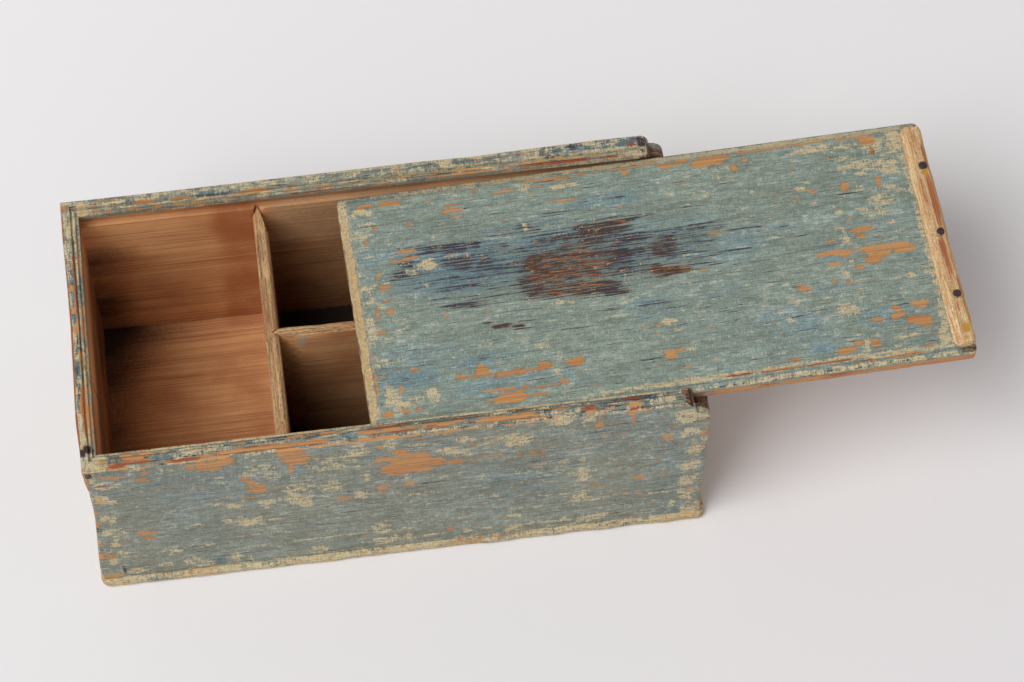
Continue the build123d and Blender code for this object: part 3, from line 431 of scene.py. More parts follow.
        (10.8, 15, 0.5, 3.4, 0.8), (298.6, 104, 1.8, 4, 0.5), (1.6, 34, 0.8, 8, 0.5),
    ),
    "ochre": (
        (5, 90, 4, 6, 0.5), (5, 50, 5, 40, 0.3), (5, 8, 5, 4, 0.8), (35, 8, 30, 3, 0.25),
        (293, 55, 5, 40, 0.25),
    ),
    "red": (
        (3, 34, 2, 14, 0.6), (299, 80, 2, 20, 0.5), (25, 49, 5, 5, 0.25), (9, 104.4, 4, 1, 0.8),
        (295.6, 117, 2, 2, 0.7),
    ),
    "deep": (
        (58, 12, 3, 5, 0.7), (140, 98, 8, 8, 0.4), (120, 20, 40, 3, 0.3), (30, 12, 8, 2, 0.4),
        (260, 80, 8, 8, 0.3),
    ),
    "grime": (
        (0.8, 60, 0.6, 3, 0.8), (10.8, 13, 0.5, 4, 0.8), (8, 17.6, 6, 0.4, 0.4),
        (150, 6.6, 150, 0.4, 0.35),
    ),
}
FRONT_RIM_WEAR = {
    "bare": (
        (25.5, 6.6, 6, 2.6, 1), (25, 3, 9, 1.1, 0.95), (18, 1.3, 4.4, 1.1, 1), (4, 1.5, 1.2, 1.4, 0.8),
        (33, 7.4, 6, 0.8, 0.8), (50, 1.4, 8, 0.8, 0.85), (92, 2.8, 30, 1.3, 0.95), (85, 4.2, 8, 0.5, 0.8),
        (141, 5.2, 9, 2.1, 0.95), (138, 1.2, 12, 0.5, 0.8), (165, 5, 14, 1, 0.9),
        (160, 3.3, 16, 0.6, 0.85), (203, 4, 15, 1.7, 1), (229, 5.5, 3.6, 1.6, 1), (242, 4, 3, 2.5, 0.85),
        (263, 6.8, 5, 0.8, 0.9), (264, 3.5, 3.4, 1.5, 0.9), (110, 7, 12, 1, 0.6),
        (288, 7.6, 1.6, 1.2, 0.8), (150, 0.3, 60, 0.4, 0.5), (215, 2.2, 14, 0.5, 0.6),
        (61, 0.6, 9, 0.9, 0.8), (99, 0.6, 6, 0.9, 0.9), (262, 0.8, 2, 0.9, 0.8), (42, 7.4, 3, 0.8, 0.6),
        (75, 6.8, 4, 0.6, 0.5),
    ),
    "cream": (
        (6.5, 4.6, 6.6, 5.6, 1.15), (57, 6, 11, 1.6, 1), (118, 5.8, 6, 1.4, 0.85),
        (140, 1.8, 12, 0.5, 0.95), (22, 1, 6, 0.7, 0.6), (75, 9.2, 70, 0.9, 0.95),
        (215, 9.4, 75, 0.8, 0.95), (197, 7.4, 8, 1, 0.75), (165, 1.9, 15, 0.6, 0.7),
        (215, 1.9, 15, 0.6, 0.7), (229, 2.5, 6, 0.6, 0.8), (236.5, 4, 1.4, 2.4, 0.8),
        (254, 5, 4.4, 0.8, 0.8), (276, 5, 1, 3.4, 0.85), (280.5, 4.5, 2.6, 1.8, 0.95),
        (271, 3, 1, 2, 0.8), (30, 9.2, 16, 0.6, 0.9), (102, 6, 6, 1.4, 0.5), (85, 5.6, 8, 0.9, 0.5),
        (182, 4, 3, 1.6, 0.6),
    ),
    "deep": (
        (150, 7.4, 150, 0.9, 0.7), (85, 6.4, 16, 1.4, 0.7), (128, 5, 3, 2.4, 0.9), (40, 4.6, 7, 2.6, 0.7),
        (222, 4.6, 2.4, 2.4, 0.8), (250, 4, 5, 3, 0.8), (271, 5.4, 3.4, 3, 1), (279, 7.5, 3, 1.6, 0.9),
        (183, 4.4, 4, 2, 0.6), (66, 3, 6, 1.4, 0.6), (14.5, 3.8, 0.8, 1.3, 1.1),
        (17.6, 4.2, 0.9, 1.7, 1.1),
    ),
    "ochre": (
        (150, 9.4, 150, 0.9, 0.45), (11.4, 4, 1.7, 2.1, 0.8), (7, 5, 4, 4, 0.3), (281, 4.4, 3, 2, 0.2),
        (57, 6, 11, 1.6, 0.2),
    ),
    "red": (
        (25, 3, 10, 1, 0.9), (50, 1.4, 8, 0.9, 0.9), (18, 1.3, 4, 0.6, 0.8), (291, 5, 4, 6, 0.9),
        (295, 7, 3, 4, 0.8), (85, 4.3, 8, 0.6, 0.9), (92, 1.5, 30, 0.5, 0.7), (185, 6.9, 38, 0.9, 1),
        (160, 3.2, 18, 0.7, 0.8), (203, 2.6, 15, 0.5, 0.6), (242, 5, 4, 2, 0.8), (250, 3, 5, 3, 0.7),
        (263, 7, 6, 1, 1), (285, 7.4, 3, 1.6, 0.8), (272, 1, 18, 0.8, 0.9), (140, 6.6, 10, 0.7, 0.8),
    ),
    "stain": (
        (185, 7.5, 36, 0.6, 0.8), (290.4, 4.6, 2.6, 6, 1.3), (294.6, 7, 2, 3, 1), (298.6, 8, 2.6, 1.6, 1),
        (92, 6.9, 8, 1, 0.6), (218, 1.2, 14, 0.5, 0.85), (272, 1.3, 18, 0.5, 0.7), (0.6, 5, 0.8, 4, 1.1),
    ),
    "grime": (
        (290.4, 5, 0.9, 6, 0.8), (150, 8.4, 150, 0.3, 0.6), (260, 7.8, 20, 0.4, 0.5),
        (0.4, 6, 0.7, 4, 0.8),
    ),
}
BACK_RIM_WEAR = {
    "bare": (
        (16.5, 6, 1.4, 2.6, 0.9), (23, 6, 1, 2, 0.7), (41, 6.8, 6.4, 0.9, 1), (58.5, 5.6, 3.8, 1.5, 1),
        (98, 6.9, 9.4, 0.9, 1), (93, 7.5, 4, 0.8, 1), (115, 6, 5, 0.7, 0.6), (77, 10.8, 8, 0.6, 0.9),
        (127, 10.4, 18, 0.6, 0.9), (198, 9.3, 24, 0.7, 1), (250, 8.9, 28, 0.6, 0.85),
        (158, 9.8, 5, 0.6, 0.9), (283, 4.6, 2.2, 1.4, 0.9), (165, 4.4, 1, 1.2, 0.8),
        (217, 3.2, 12, 0.5, 0.7), (40, 11, 14, 0.5, 0.6), (30, 3, 14, 0.6, 0.4), (232, 2.6, 1, 1, 0.7),
        (260, 3.4, 1, 1.4, 0.6), (98, 5.6, 4, 0.6, 0.6), (60, 9.2, 50, 0.5, 0.75),
        (190, 10.7, 60, 0.6, 0.8), (110, 8.2, 30, 0.5, 0.6),
    ),
    "cream": (
        (10.5, 7, 3, 6, 1.1), (75, 2.6, 66, 1.2, 0.62), (100, 8.4, 5, 1.2, 0.6), (55, 8, 34, 0.6, 0.6),
        (175, 1, 60, 1.4, 0.6), (240, 1, 20, 1.2, 0.55), (178, 6.6, 28, 0.8, 0.72),
        (240, 7, 36, 0.9, 0.9), (268, 5.8, 18, 0.6, 1), (150, 11.2, 120, 0.6, 0.5),
        (130, 7.6, 20, 0.6, 0.7), (284, 9, 4, 2, 0.95), (218, 5, 3, 1.6, 0.6), (236, 4, 2, 1.4, 0.6),
        (120, 4.6, 20, 0.9, 0.45), (60, 10.4, 50, 0.6, 0.55), (130, 9.4, 24, 0.5, 0.6),
    ),
    "deep": (
        (30, 5, 12, 1.6, 0.7), (75, 5.2, 12, 1.8, 0.8), (190, 3.6, 32, 1, 0.8), (262, 2.6, 26, 2.4, 1.1),
        (150, 4.4, 150, 1.4, 0.45), (150, 10, 150, 0.5, 0.3), (90, 8.8, 5, 1, 0.6),
    ),
    "ochre": (
        (50, 9, 34, 0.7, 1), (131, 8.4, 20, 0.6, 1.1), (178, 7.7, 28, 0.7, 1.1), (240, 7.2, 36, 0.9, 0.8),
        (11, 8, 4, 4, 0.5), (268, 8, 12, 1, 0.5),
    ),
    "red": (
        (250, 8.9, 30, 0.8, 0.9), (217, 3.2, 14, 0.8, 1), (283, 4.6, 3, 2, 1.2),
        (127, 10.4, 18, 0.8, 0.8), (77, 10.8, 8, 0.8, 0.9), (232, 2.6, 2, 2, 0.7),
    ),
    "stain": (
        (289, 3, 2.6, 9, 1.2), (298.4, 5, 3, 6, 0.7), (50, 9.6, 30, 0.4, 0.35), (4, 6, 3, 6, 0.6),
        (276, 7.4, 3, 0.8, 0.7),
    ),
    "grime": (
        (292, 5, 0.9, 8, 1), (150, 9.9, 150, 0.3, 0.4), (50, 9.6, 30, 0.4, 0.5), (284, 10.6, 8, 0.6, 0.6),
        (6.5, 6, 0.7, 6, 0.6),
    ),
}
LEFT_RIM_WEAR = {
    "bare": (
        (35, 4.9, 15, 1.1, 1), (60, 5, 6.6, 1.1, 1), (26, 7.2, 13, 0.9, 1), (100, 4.6, 31, 0.8, 0.95),
        (48, 7.4, 9, 0.7, 0.8), (82, 7, 14, 0.9, 0.9), (118, 7.2, 12, 0.8, 0.9), (36, 3.2, 5, 0.8, 0.7),
        (78, 2, 2, 1.2, 0.8), (70, 2.4, 1.2, 1.4, 0.8), (89, 2, 2, 1.4, 0.8), (102, 2.4, 2, 1.6, 0.85),
        (60, 0.5, 44, 0.5, 0.8), (52, 2.4, 0.9, 1.2, 0.6), (148, 3, 1.6, 3, 0.9), (24, 7.4, 5, 0.6, 0.7),
        (128, 0.7, 16, 0.6, 0.5),
    ),
    "cream": (
        (21, 1.8, 10, 1.8, 1), (15, 3.2, 3, 2, 0.9), (38, 6.1, 26, 0.6, 1), (80, 6.0, 60, 0.5, 0.7),
        (136, 4, 8, 3.2, 0.85), (50, 2.4, 3, 1.2, 0.6), (64, 1.8, 3, 1, 0.6), (123, 3.4, 2, 1.2, 0.85),
        (142, 7, 6, 1.6, 0.9), (82, 7.8, 40, 0.4, 0.4), (58, 6.8, 4, 0.9, 0.7), (108, 2.6, 3, 1, 0.5),
    ),
    "deep": (
        (76, 2.4, 60, 1.4, 0.8), (100, 6.4, 6, 1, 0.9), (63, 6.8, 5, 1, 0.8), (67.6, 4.8, 0.9, 1.2, 1),
        (52, 4.8, 0.9, 1.2, 1), (22, 4.4, 6, 0.9, 1), (120, 6.1, 12, 0.5, 0.7),
    ),
    "ochre": (
        (60, 8.0, 50, 0.8, 0.8), (38, 6.6, 24, 0.6, 0.4), (14, 4, 3, 4, 0.3), (148, 3, 2, 3, 0.4),
    ),
    "red": (
        (76, 0.4, 82, 0.7, 0.9), (108, 4.3, 24, 0.6, 0.8), (35, 4, 15, 0.4, 0.7),
        (136, 0.8, 12, 0.8, 0.7),
    ),
    "stain": (
        (10.8, 1.3, 2.2, 1.7, 1.5), (12.8, 4.1, 2.2, 2.3, 1.5), (12, 7, 1.4, 1.2, 1.3),
        (106, 7.2, 1.4, 0.8, 0.6),
    ),
    "grime": (
        (10.8, 1.3, 2, 1.6, 1.1), (12.8, 4.1, 2, 2.2, 1.1), (76, 8.5, 80, 0.5, 0.7),
        (148.5, 4, 1.2, 2, 0.4),
    ),
}
LONG_DIVIDER_WEAR = (
    (-42, 98.6, 3.6, 6, 1), (-38.6, 102.4, 1.6, 2, 0.9),
)


def smooth(value):
    """Eases a share from 0 to 1, in and out."""
    clipped = np.clip(value, 0, 1)
    return clipped * clipped * (3 - 2 * clipped)


# Least half length and half width of a patch, so that none falls between two cuts of the mesh
LEAST_HALF_LENGTH = 0.7
LEAST_HALF_WIDTH = 0.55
# How far out a patch ends, counted in its half sizes
PATCH_END = 1.55


def patch_field(along, across, patches):
    """How strongly the patches wear each point. A patch is squarish, and fades out past its rim."""
    field = np.zeros(len(along))
    for middle, height, half_length, half_width, strength in patches:
        far_along = np.abs(along - middle) / max(half_length, LEAST_HALF_LENGTH)
        far_across = np.abs(across - height) / max(half_width, LEAST_HALF_WIDTH)
        reach = (far_along**3 + far_across**3) ** (1 / 3)
        field = np.maximum(field, strength * smooth(PATCH_END - reach))
    return field


# Primes that scatter the levels of the noise's cells
CELL_PRIMES = np.array([73856093, 19349663, 83492791])
MIXING_PRIME = 1274126177


def wander(points, wavelength, seed):
    """Smooth noise from -1 to 1 at each point, with swells about a wavelength long, in millimetres. Each use
    has a seed of its own."""
    places = points / wavelength + 97.3 * seed
    cells = np.floor(places).astype(np.int64)
    share = places - cells
    share = share**3 * (share * (share * 6 - 15) + 10)
    total = np.zeros(len(points))
    for corner in np.ndindex(2, 2, 2):
        lattice = (cells + corner) @ CELL_PRIMES
        lattice = ((lattice ^ (lattice >> 13)) * MIXING_PRIME) & 0x7FFFFFFF
        level = ((lattice ^ (lattice >> 16)) & 0xFFFF) / 32767.5 - 1
        total += level * np.prod(np.where(corner, share, 1 - share), axis=1)
    return total


def flat_wood(node_name):
    """A node's mesh in millimetres, merged from loose triangles into whole flat faces."""
    bm = bmesh.new()
    bm.from_mesh(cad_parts[node_name].data)
    bmesh.ops.scale(bm, vec=(1 / MM, 1 / MM, 1 / MM), verts=bm.verts)
    bmesh.ops.remove_doubles(bm, verts=bm.verts, dist=0.002)
    bmesh.ops.dissolve_limit(bm, angle_limit=radians(0.6), verts=bm.verts, edges=bm.edges)
    return bm


# No two cuts lie closer than this, and none this close to a board's end
LEAST_CUT = 0.15
LEAST_END_CUT = 0.05


def cut_places(low, high, step, near=(), near_low=True, near_high=True):
    """Where a board is cut across: evenly, and closer together beside its ends."""
    count = max(1, round((high - low) / step))
    places = [low + (high - low) * i / count for i in range(1, count)]
    places += [low + gap for gap in near] if near_low else []
    places += [high - gap for gap in near] if near_high else []
    places.sort()
    kept = []
    for place in places:
        if low + LEAST_END_CUT < place < high - LEAST_END_CUT:
            if not kept or place - kept[-1] > LEAST_CUT:
                kept.append(place)
    return kept


def cut_across(bm, axis, places):
    """Cuts every face of the mesh along planes across an axis, so that it can bend and take colour there."""
    normal = [0, 0, 0]
    normal[axis] = 1
    for place in places:
        point = [0, 0, 0]
        point[axis] = place
        bmesh.ops.bisect_plane(
            bm, geom=[*bm.verts, *bm.edges, *bm.faces], dist=0.001, plane_co=point, plane_no=normal
        )


def rounded(points, low, high, radius):
    """Points near the outer arrises of a box, drawn in to a round whose radius may differ at each point."""
    low, high = np.array(low), np.array(high)
    r = radius[:, None]
    core = np.clip(points, low + r, high - r)
    out = points - core
    length = np.linalg.norm(out, axis=1)[:, None]
    on_box = np.all((points > low - 0.5) & (points < high + 0.5), axis=1)[:, None]
    outside = (length > r) & on_box
    return np.where(outside, core + out * r / np.maximum(length, 1e-9), points)


def arris_nearness(points, low, high, reach):
    """1 on an outer arris of a box, falling to 0 at the reach from it."""
    gaps = np.sort(np.minimum(np.abs(points - low), np.abs(points - high)), axis=1)
    return np.clip(1 - gaps[:, 1] / reach, 0, 1) * (gaps[:, 0] < reach)


# Faces that meet at more than this keep a crisp edge
SHARP_ANGLE = radians(38)


def build_piece(piece_name, bm, materials, face_material, fields, move, stands_for, body):
    """Turns a cut mesh into the finished piece.

    face_material takes faces' middles and normals and gives each one's place in materials, fields is a dict
    of functions from points to values that the materials read, and move gives the worn places of the points.
    """
    mesh = bpy.data.meshes.new(piece_name)
    bm.to_mesh(mesh)
    bm.free()
    points = np.empty(len(mesh.vertices) * 3)
    mesh.vertices.foreach_get("co", points)
    points = points.reshape(-1, 3)
    middles = np.empty(len(mesh.polygons) * 3)
    normals = np.empty(len(mesh.polygons) * 3)
    mesh.polygons.foreach_get("center", middles)
    mesh.polygons.foreach_get("normal", normals)
    for material in materials:
        mesh.materials.append(material)
    chosen = face_material(middles.reshape(-1, 3), normals.reshape(-1, 3))
    mesh.polygons.foreach_set("material_index", np.asarray(chosen, np.int32))
    for name, field in fields.items():
        attribute = mesh.attributes.new(name, "FLOAT", "POINT")
        attribute.data.foreach_set("value", np.asarray(field(points), np.float32))
    mesh.vertices.foreach_set("co", (move(points) * MM).ravel())
    mesh.update()
    mesh.polygons.foreach_set("use_smooth", np.ones(len(mesh.polygons), bool))
    mesh.set_sharp_from_angle(angle=SHARP_ANGLE)
    piece = bpy.data.objects.new(piece_name, mesh)
    bpy.context.scene.collection.objects.link(piece)
    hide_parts(*stands_for)
    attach(piece, body)


# How far hands have hollowed the corners seen from the front, and the left rim: places, and depths there
LEFT_CORNER_Z = (8, 17, 28, 39, 55, 71, 87, 101, 108, 120)
LEFT_CORNER_HOLLOW = (-1, -1.4, -0.8, 0, 1.1, 2.2, 2.6, 2.2, 1.7, 1.2)
RIGHT_CORNER_Z = (6, 17, 34, 66, 81, 102, 117)
RIGHT_CORNER_HOLLOW = (-0.6, 0.8, 0.6, 0.4, 0.2, -0.1, 0.7)
LEFT_RIM_Y = (-60, -26, 4, 24, 54)
LEFT_RIM_HOLLOW = (0, 0.5, 0.9, 0.7, 0)
# The back wall has warped: its top leans in at the left and out at the right
BACK_WALL_X = (-150, -110, -50, 0, 30, 55, 70, 90, 120, 150)
BACK_WALL_LEAN = (-1.4, -1.5, -1, -0.5, -0.2, -0.7, 0, 0.5, 1.2, 1)


def worn_carcass(points):
    """Where the carcass's points lie after long handling. It depends on the place alone, so that boards that
    meet stay together."""
    arris = sizes().arris / MM
    radius = arris * (1 + 0.75 * wander(points, 9, 1) + 0.45 * wander(points, 3.2, 2))
    radius = np.clip(radius, 0.35, 3.0)
    worn = rounded(points, CARCASS_FOOT, CARCASS_HIGH, radius)
    sway = sizes().waviness / MM * wander(points * np.array([0.3, 1, 1]), 30, 3)
    outside = arris_nearness(points, CARCASS_FOOT, CARCASS_HIGH, 0.05)
    below_rim = points[:, 2] < CARCASS_HIGH[2] - 4
    worn[:, 1] -= np.sign(points[:, 1]) * np.maximum(sway, 0) * (1 - outside) * below_rim
    x, y, z = points.T
    near_front = smooth((-y - 44) / 26)
    left_hollow = np.interp(z, LEFT_CORNER_Z, LEFT_CORNER_HOLLOW)
    right_hollow = np.interp(z, RIGHT_CORNER_Z, RIGHT_CORNER_HOLLOW)
    rim_hollow = np.interp(y, LEFT_RIM_Y, LEFT_RIM_HOLLOW) * smooth((z - 104) / 14)
    worn[:, 0] += smooth((-x - 141) / 9) * (near_front * left_hollow + rim_hollow)
    worn[:, 0] -= smooth((x - 143) / 7) * near_front * right_hollow
    lean = np.interp(x, BACK_WALL_X, BACK_WALL_LEAN)
    worn[:, 1] += smooth((y - 69) / 7.5) * smooth((z - 50) / 60) * lean
    return worn


def add(tree, kind, inputs=None, **settings):
    """Adds a node with its settings. An input takes a value or another node's socket."""
    node = tree.nodes.new(kind)
    for name, value in settings.items():
        setattr(node, name, value)
    for name, value in (inputs or {}).items():
        if isinstance(value, bpy.types.NodeSocket):
            tree.links.new(value, node.inputs[name])
        else:
            node.inputs[name].default_value = value
    return node


def new_material(name):
    """An empty material with its shader, and its node tree."""
    material = bpy.data.materials.new(name)
    material.use_nodes = True
    tree = material.node_tree
    tree.nodes.clear()
    shader = add(tree, "ShaderNodeBsdfPrincipled")
    add(tree, "ShaderNodeOutputMaterial", {"Surface": shader.outputs[0]})
    return material, tree, shader


def wood_place(tree, turn):
    """Places on the wood in millimetres, with the grain along X. turn is the grain's own turn about Z."""
    coordinates = add(tree, "ShaderNodeTexCoord")
    return add(
        tree,
        "ShaderNodeMapping",
        {"Vector": coordinates.outputs["Object"], "Rotation": (0, 0, -turn), "Scale": (1 / MM,) * 3},
    ).outputs[0]


def grain_noise(tree, place, along, across, seed, detail=3.0, rough=0.55):
    """Noise whose features are about along by across millimetres, drawn out with the grain."""
    drawn = add(
        tree,
        "ShaderNodeMapping",
        {
            "Vector": place,
            "Location": (seed * 3.7, seed * 1.9, seed),
            "Scale": (1 / along, 1 / across, 1 / across),
        },
    )
    return add(
        tree,
        "ShaderNodeTexNoise",
        {"Vector": drawn.outputs[0], "Scale": 1.0, "Detail": detail, "Roughness": rough},
    ).outputs["Fac"]


def flake_levels(tree, place, along, across, seed):
    """A level for each flake of paint, as a colour. The flakes are about along by across millimetres."""
    ripple = add(tree, "ShaderNodeTexNoise", {"Vector": place, "Scale": 0.5, "Detail": 2.0})
    bent = add(
        tree,
        "ShaderNodeVectorMath",
        {0: ripple.outputs["Color"], 1: (1.6, 0.8, 0.8), 2: place},
        operation="MULTIPLY_ADD",
    )
    drawn = add(
        tree,
        "ShaderNodeMapping",
        {
            "Vector": bent.outputs[0],
            "Location": (seed, seed, seed),
            "Scale": (1 / along, 1 / across, 1 / across),
        },
    )
    return add(
        tree, "ShaderNodeTexVoronoi", {"Vector": drawn.outputs[0], "Scale": 1.0}, distance="CHEBYCHEV"
    ).outputs["Color"]


def weigh(tree, start, parts):
    """A start value, or socket, with weighted patterns added. Each pattern counts from its middle, 0.5."""
    total = start
    for socket, weight in parts:
        centred = add(tree, "ShaderNodeMath", {0: socket, 1: 0.5}, operation="SUBTRACT").outputs[0]
        total = add(
            tree, "ShaderNodeMath", {0: centred, 1: weight, 2: total}, operation="MULTIPLY_ADD"
        ).outputs[0]
    return total


def lay(tree, below, above, value, low, high):
    """One colour laid over another as the value goes from low to high. Gives the colour and its cover."""
    shown = add(
        tree,
        "ShaderNodeMapRange",
        {"Value": value, "From Min": low, "From Max": high},
        interpolation_type="SMOOTHSTEP",
    ).outputs[0]
    mixed = add(tree, "ShaderNodeMix", {0: shown, 6: below, 7: above}, data_type="RGBA")
    return mixed.outputs[2], shown


def shaded(tree, colour, value, dark, light):
    """A colour made darker or lighter as the value goes from 0 to 1."""
    level = add(tree, "ShaderNodeMapRange", {"Value": value, "To Min": dark, "To Max": light}).outputs[0]
    return add(
        tree, "ShaderNodeMix", {0: 1.0, 6: colour, 7: level}, data_type="RGBA", blend_type="MULTIPLY"
    ).outputs[2]


def growth_lines(tree, place, light, dark, ring):
    """Colour of planed pine: fine late wood lines, a ring apart, that wander along the grain."""
    bend = grain_noise(tree, place, 90, 14, 4, 2)
    fibres = grain_noise(tree, place, 20, 0.6, 5, 4, 0.65)
    lines = grain_noise(tree, place, 120, ring * 0.62, 6, 2, 0.5)
    value = weigh(tree, 0.4, [(lines, 1.9), (fibres, 1.1), (bend, 0.8)])
    return lay(tree, light, dark, value, 0.0, 1.1)[0], fibres


def painted_pine(name, turn, green, blue):
    """Oil paint, brushed on over an older cream coat and pine, then rubbed by long use.

    The eye sees matt blue-green with brush lines and grain showing through it, pale smudges where the cream
    coat is bared, and orange flakes with edges along the grain where the pine is.
    """
    palette = colours()
    material, tree, shader = new_material(name)
    place = wood_place(tree, turn)
    field = {key: add(tree, "ShaderNodeAttribute", attribute_name=key).outputs["Fac"] for key in FIELDS}
    fibres = grain_noise(tree, place, 18, 0.8, 1, 4, 0.6)
    lines = grain_noise(tree, place, 24, 0.7, 2, 3)
    dashes = grain_noise(tree, place, 5.5, 1.1, 3, 3, 0.6)
    clouds = grain_noise(tree, place, 30, 12, 4)
    mottle = grain_noise(tree, place, 4.5, 2.6, 8, 3, 0.6)
    crazing = grain_noise(tree, place, 0.7, 3.2, 5, 2)
    grit = grain_noise(tree, place, 0.9, 0.8, 6, 2, 0.6)
    flakes = flake_levels(tree, place, 3.0, 1.2, 7)

    # The blue-green coat: bluer and greener clouds, thick along the rims, with a chalky bloom
    coat_value = weigh(tree, field["blue"], [(clouds, 1.4), (mottle, 1.8), (lines, 1.2)])
    coat, _ = lay(tree, green, blue, coat_value, 0.0, 1.3)
    deep_value = weigh(tree, field["deep"], [(dashes, 1.4), (mottle, 0.8)])
    coat, _ = lay(tree, coat, palette.deep_blue, deep_value, 0.3, 0.9)
    bloom = weigh(tree, 0.0, [(mottle, 1.8), (dashes, 1.4), (clouds, 1.0), (grit, 0.7)])
    coat, _ = lay(tree, coat, palette.bloom, bloom, 0.05, 0.85)
    coat_shade = weigh(tree, 0.5, [(fibres, 2.3), (mottle, 1.7), (crazing, 0.9), (grit, 1.9), (clouds, 1.0)])
    coat = shaded(tree, coat, coat_shade, 0.64, 1.32)

    # The stain, which goes from purple to brown and shows orange wood in streaks
    stain_value = weigh(tree, field["red"], [(clouds, 1.2), (dashes, 1.6), (fibres, 1.2)])
    stain, _ = lay(tree, palette.stain, palette.stain_brown, stain_value, 0.2, 0.8)
    orange_value = weigh(tree, field["red"], [(fibres, 2.6), (dashes, 1.6), (grit, 0.6)])
    stain, _ = lay(tree, stain, palette.stain_orange, orange_value, 0.95, 1.3)
    stain_value = weigh(tree, field["stain"], [(lines, 2.8), (fibres, 3.0), (mottle, 1.4), (grit, 1.0)])
    colour, _ = lay(tree, coat, stain, stain_value, 0.32, 0.9)

    # The cream coat, cracked, dirty, and yellowed in places
    cream_shade = weigh(tree, 0.5, [(grit, 1.4), (dashes, 1.4), (crazing, 1.0)])
    cream, _ = lay(tree, palette.cream_shade, palette.cream, cream_shade, 0.15, 0.75)
    ochre_value = weigh(tree, field["ochre"], [(lines, 1.4), (grit, 0.8)])
    cream, _ = lay(tree, cream, palette.ochre, ochre_value, 0.3, 0.8)
    cream_bias = add(
        tree, "ShaderNodeMath", {0: field["arris"], 1: 0.4, 2: field["cream"]}, operation="MULTIPLY_ADD"
    ).outputs[0]
    cream_parts = [(dashes, 1.8), (mottle, 1.5), (grit, 0.7), (crazing, 1.1), (flakes, 0.3)]
    colour, cream_shown = lay(tree, colour, cream, weigh(tree, cream_bias, cream_parts), 0.34, 0.92)

    # The pine, redder in places
    pine, pine_fibres = growth_lines(tree, place, palette.pine, palette.pine_line, sizes().growth_ring / MM)
    red_value = weigh(tree, field["red"], [(lines, 1.6), (grit, 0.8)])
    pine, _ = lay(tree, pine, palette.red_pine, red_value, 0.3, 0.8)
    bare_bias = add(
        tree, "ShaderNodeMath", {0: field["arris"], 1: 0.38, 2: field["bare"]}, operation="MULTIPLY_ADD"
    ).outputs[0]
    bare_value = weigh(tree, bare_bias, [(flakes, 0.7), (dashes, 1.7), (fibres, 1.5), (grit, 0.4)])
    colour, bare_shown = lay(tree, colour, pine, bare_value, 0.51, 0.59)

    # Dirt in the hollows
    grime_value = weigh(tree, field["grime"], [(grit, 1.0), (dashes, 1.0)])
    colour, _ = lay(tree, colour, palette.grime, grime_value, 0.2, 1.0)
    tree.links.new(colour, shader.inputs["Base Color"])

    coated = add(tree, "ShaderNodeMath", {0: 1.0, 1: bare_shown}, operation="SUBTRACT").outputs[0]
    thickness = add(
        tree, "ShaderNodeMath", {0: cream_shown, 1: -0.35, 2: coated}, operation="MULTIPLY_ADD"
    ).outputs[0]
    relief = weigh(tree, thickness, [(fibres, 1.4), (pine_fibres, 0.5), (grit, 0.4), (mottle, 0.5)])
    bump = add(tree, "ShaderNodeBump", {"Height": relief, "Strength": 0.7, "Distance": 0.2 * MM})
    tree.links.new(bump.outputs[0], shader.inputs["Normal"])
    rough = add(tree, "ShaderNodeMapRange", {"Value": grit, "To Min": 0.6, "To Max": 0.85}).outputs[0]
    tree.links.new(rough, shader.inputs["Roughness"])
    shader.inputs["Specular IOR Level"].default_value = 0.3
    return material


def bare_pine(name, turn, light, dark, red, dirt, speckle):
    """Planed pine, never painted, that has darkened with air and spices.

    The eye sees warm brown with closely spaced darker lines along the grain, redder patches, and dark
    patches that are painted shade inside the box and dirt on the sawn edges. dirt is how far all of it is
    darkened towards that dark colour, and speckle how strongly the darkening breaks up into specks.
    """
    palette = colours()
    material, tree, shader = new_material(name)
    place = wood_place(tree, turn)
    field = {
        key: add(tree, "ShaderNodeAttribute", attribute_name=key).outputs["Fac"] for key in INSIDE_FIELDS
    }
    pine, fibres = growth_lines(tree, place, light, dark, sizes().growth_ring / MM)
    shade_and_dirt = grain_noise(tree, place, 60, 26, 12, 3)
    blush = grain_noise(tree, place, 40, 34, 14, 3)
    grit = grain_noise(tree, place, 2.0, 0.6, 13, 3)
    colour, _ = lay(tree, pine, red, weigh(tree, field["blush"], [(blush, 2.0), (grit, 0.5)]), -0.2, 1.0)
    colour, _ = lay(tree, colour, palette.pale_scrape, weigh(tree, field["pale"], [(grit, 0.8)]), 0.3, 0.8)
    # The dark colour lays painted shade from the field, plus each material's even dirt
    shade_and_dirt_value = add(tree, "ShaderNodeMath", {0: field["shade_and_dirt"], 1: dirt}).outputs[0]
    shade_and_dirt_value = weigh(tree, shade_and_dirt_value, [(shade_and_dirt, 1.0), (grit, speckle)])
    colour, _ = lay(tree, colour, palette.shade_and_dirt, shade_and_dirt_value, 0.1, 1.2)
    tree.links.new(colour, shader.inputs["Base Color"])
    relief = weigh(tree, 0.5, [(fibres, 1.2), (grit, 0.6)])
    bump = add(tree, "ShaderNodeBump", {"Height": relief, "Strength": 0.5, "Distance": 0.14 * MM})
    tree.links.new(bump.outputs[0], shader.inputs["Normal"])
    shader.inputs["Roughness"].default_value = 0.62
    shader.inputs["Specular IOR Level"].default_value = 0.35
    return material


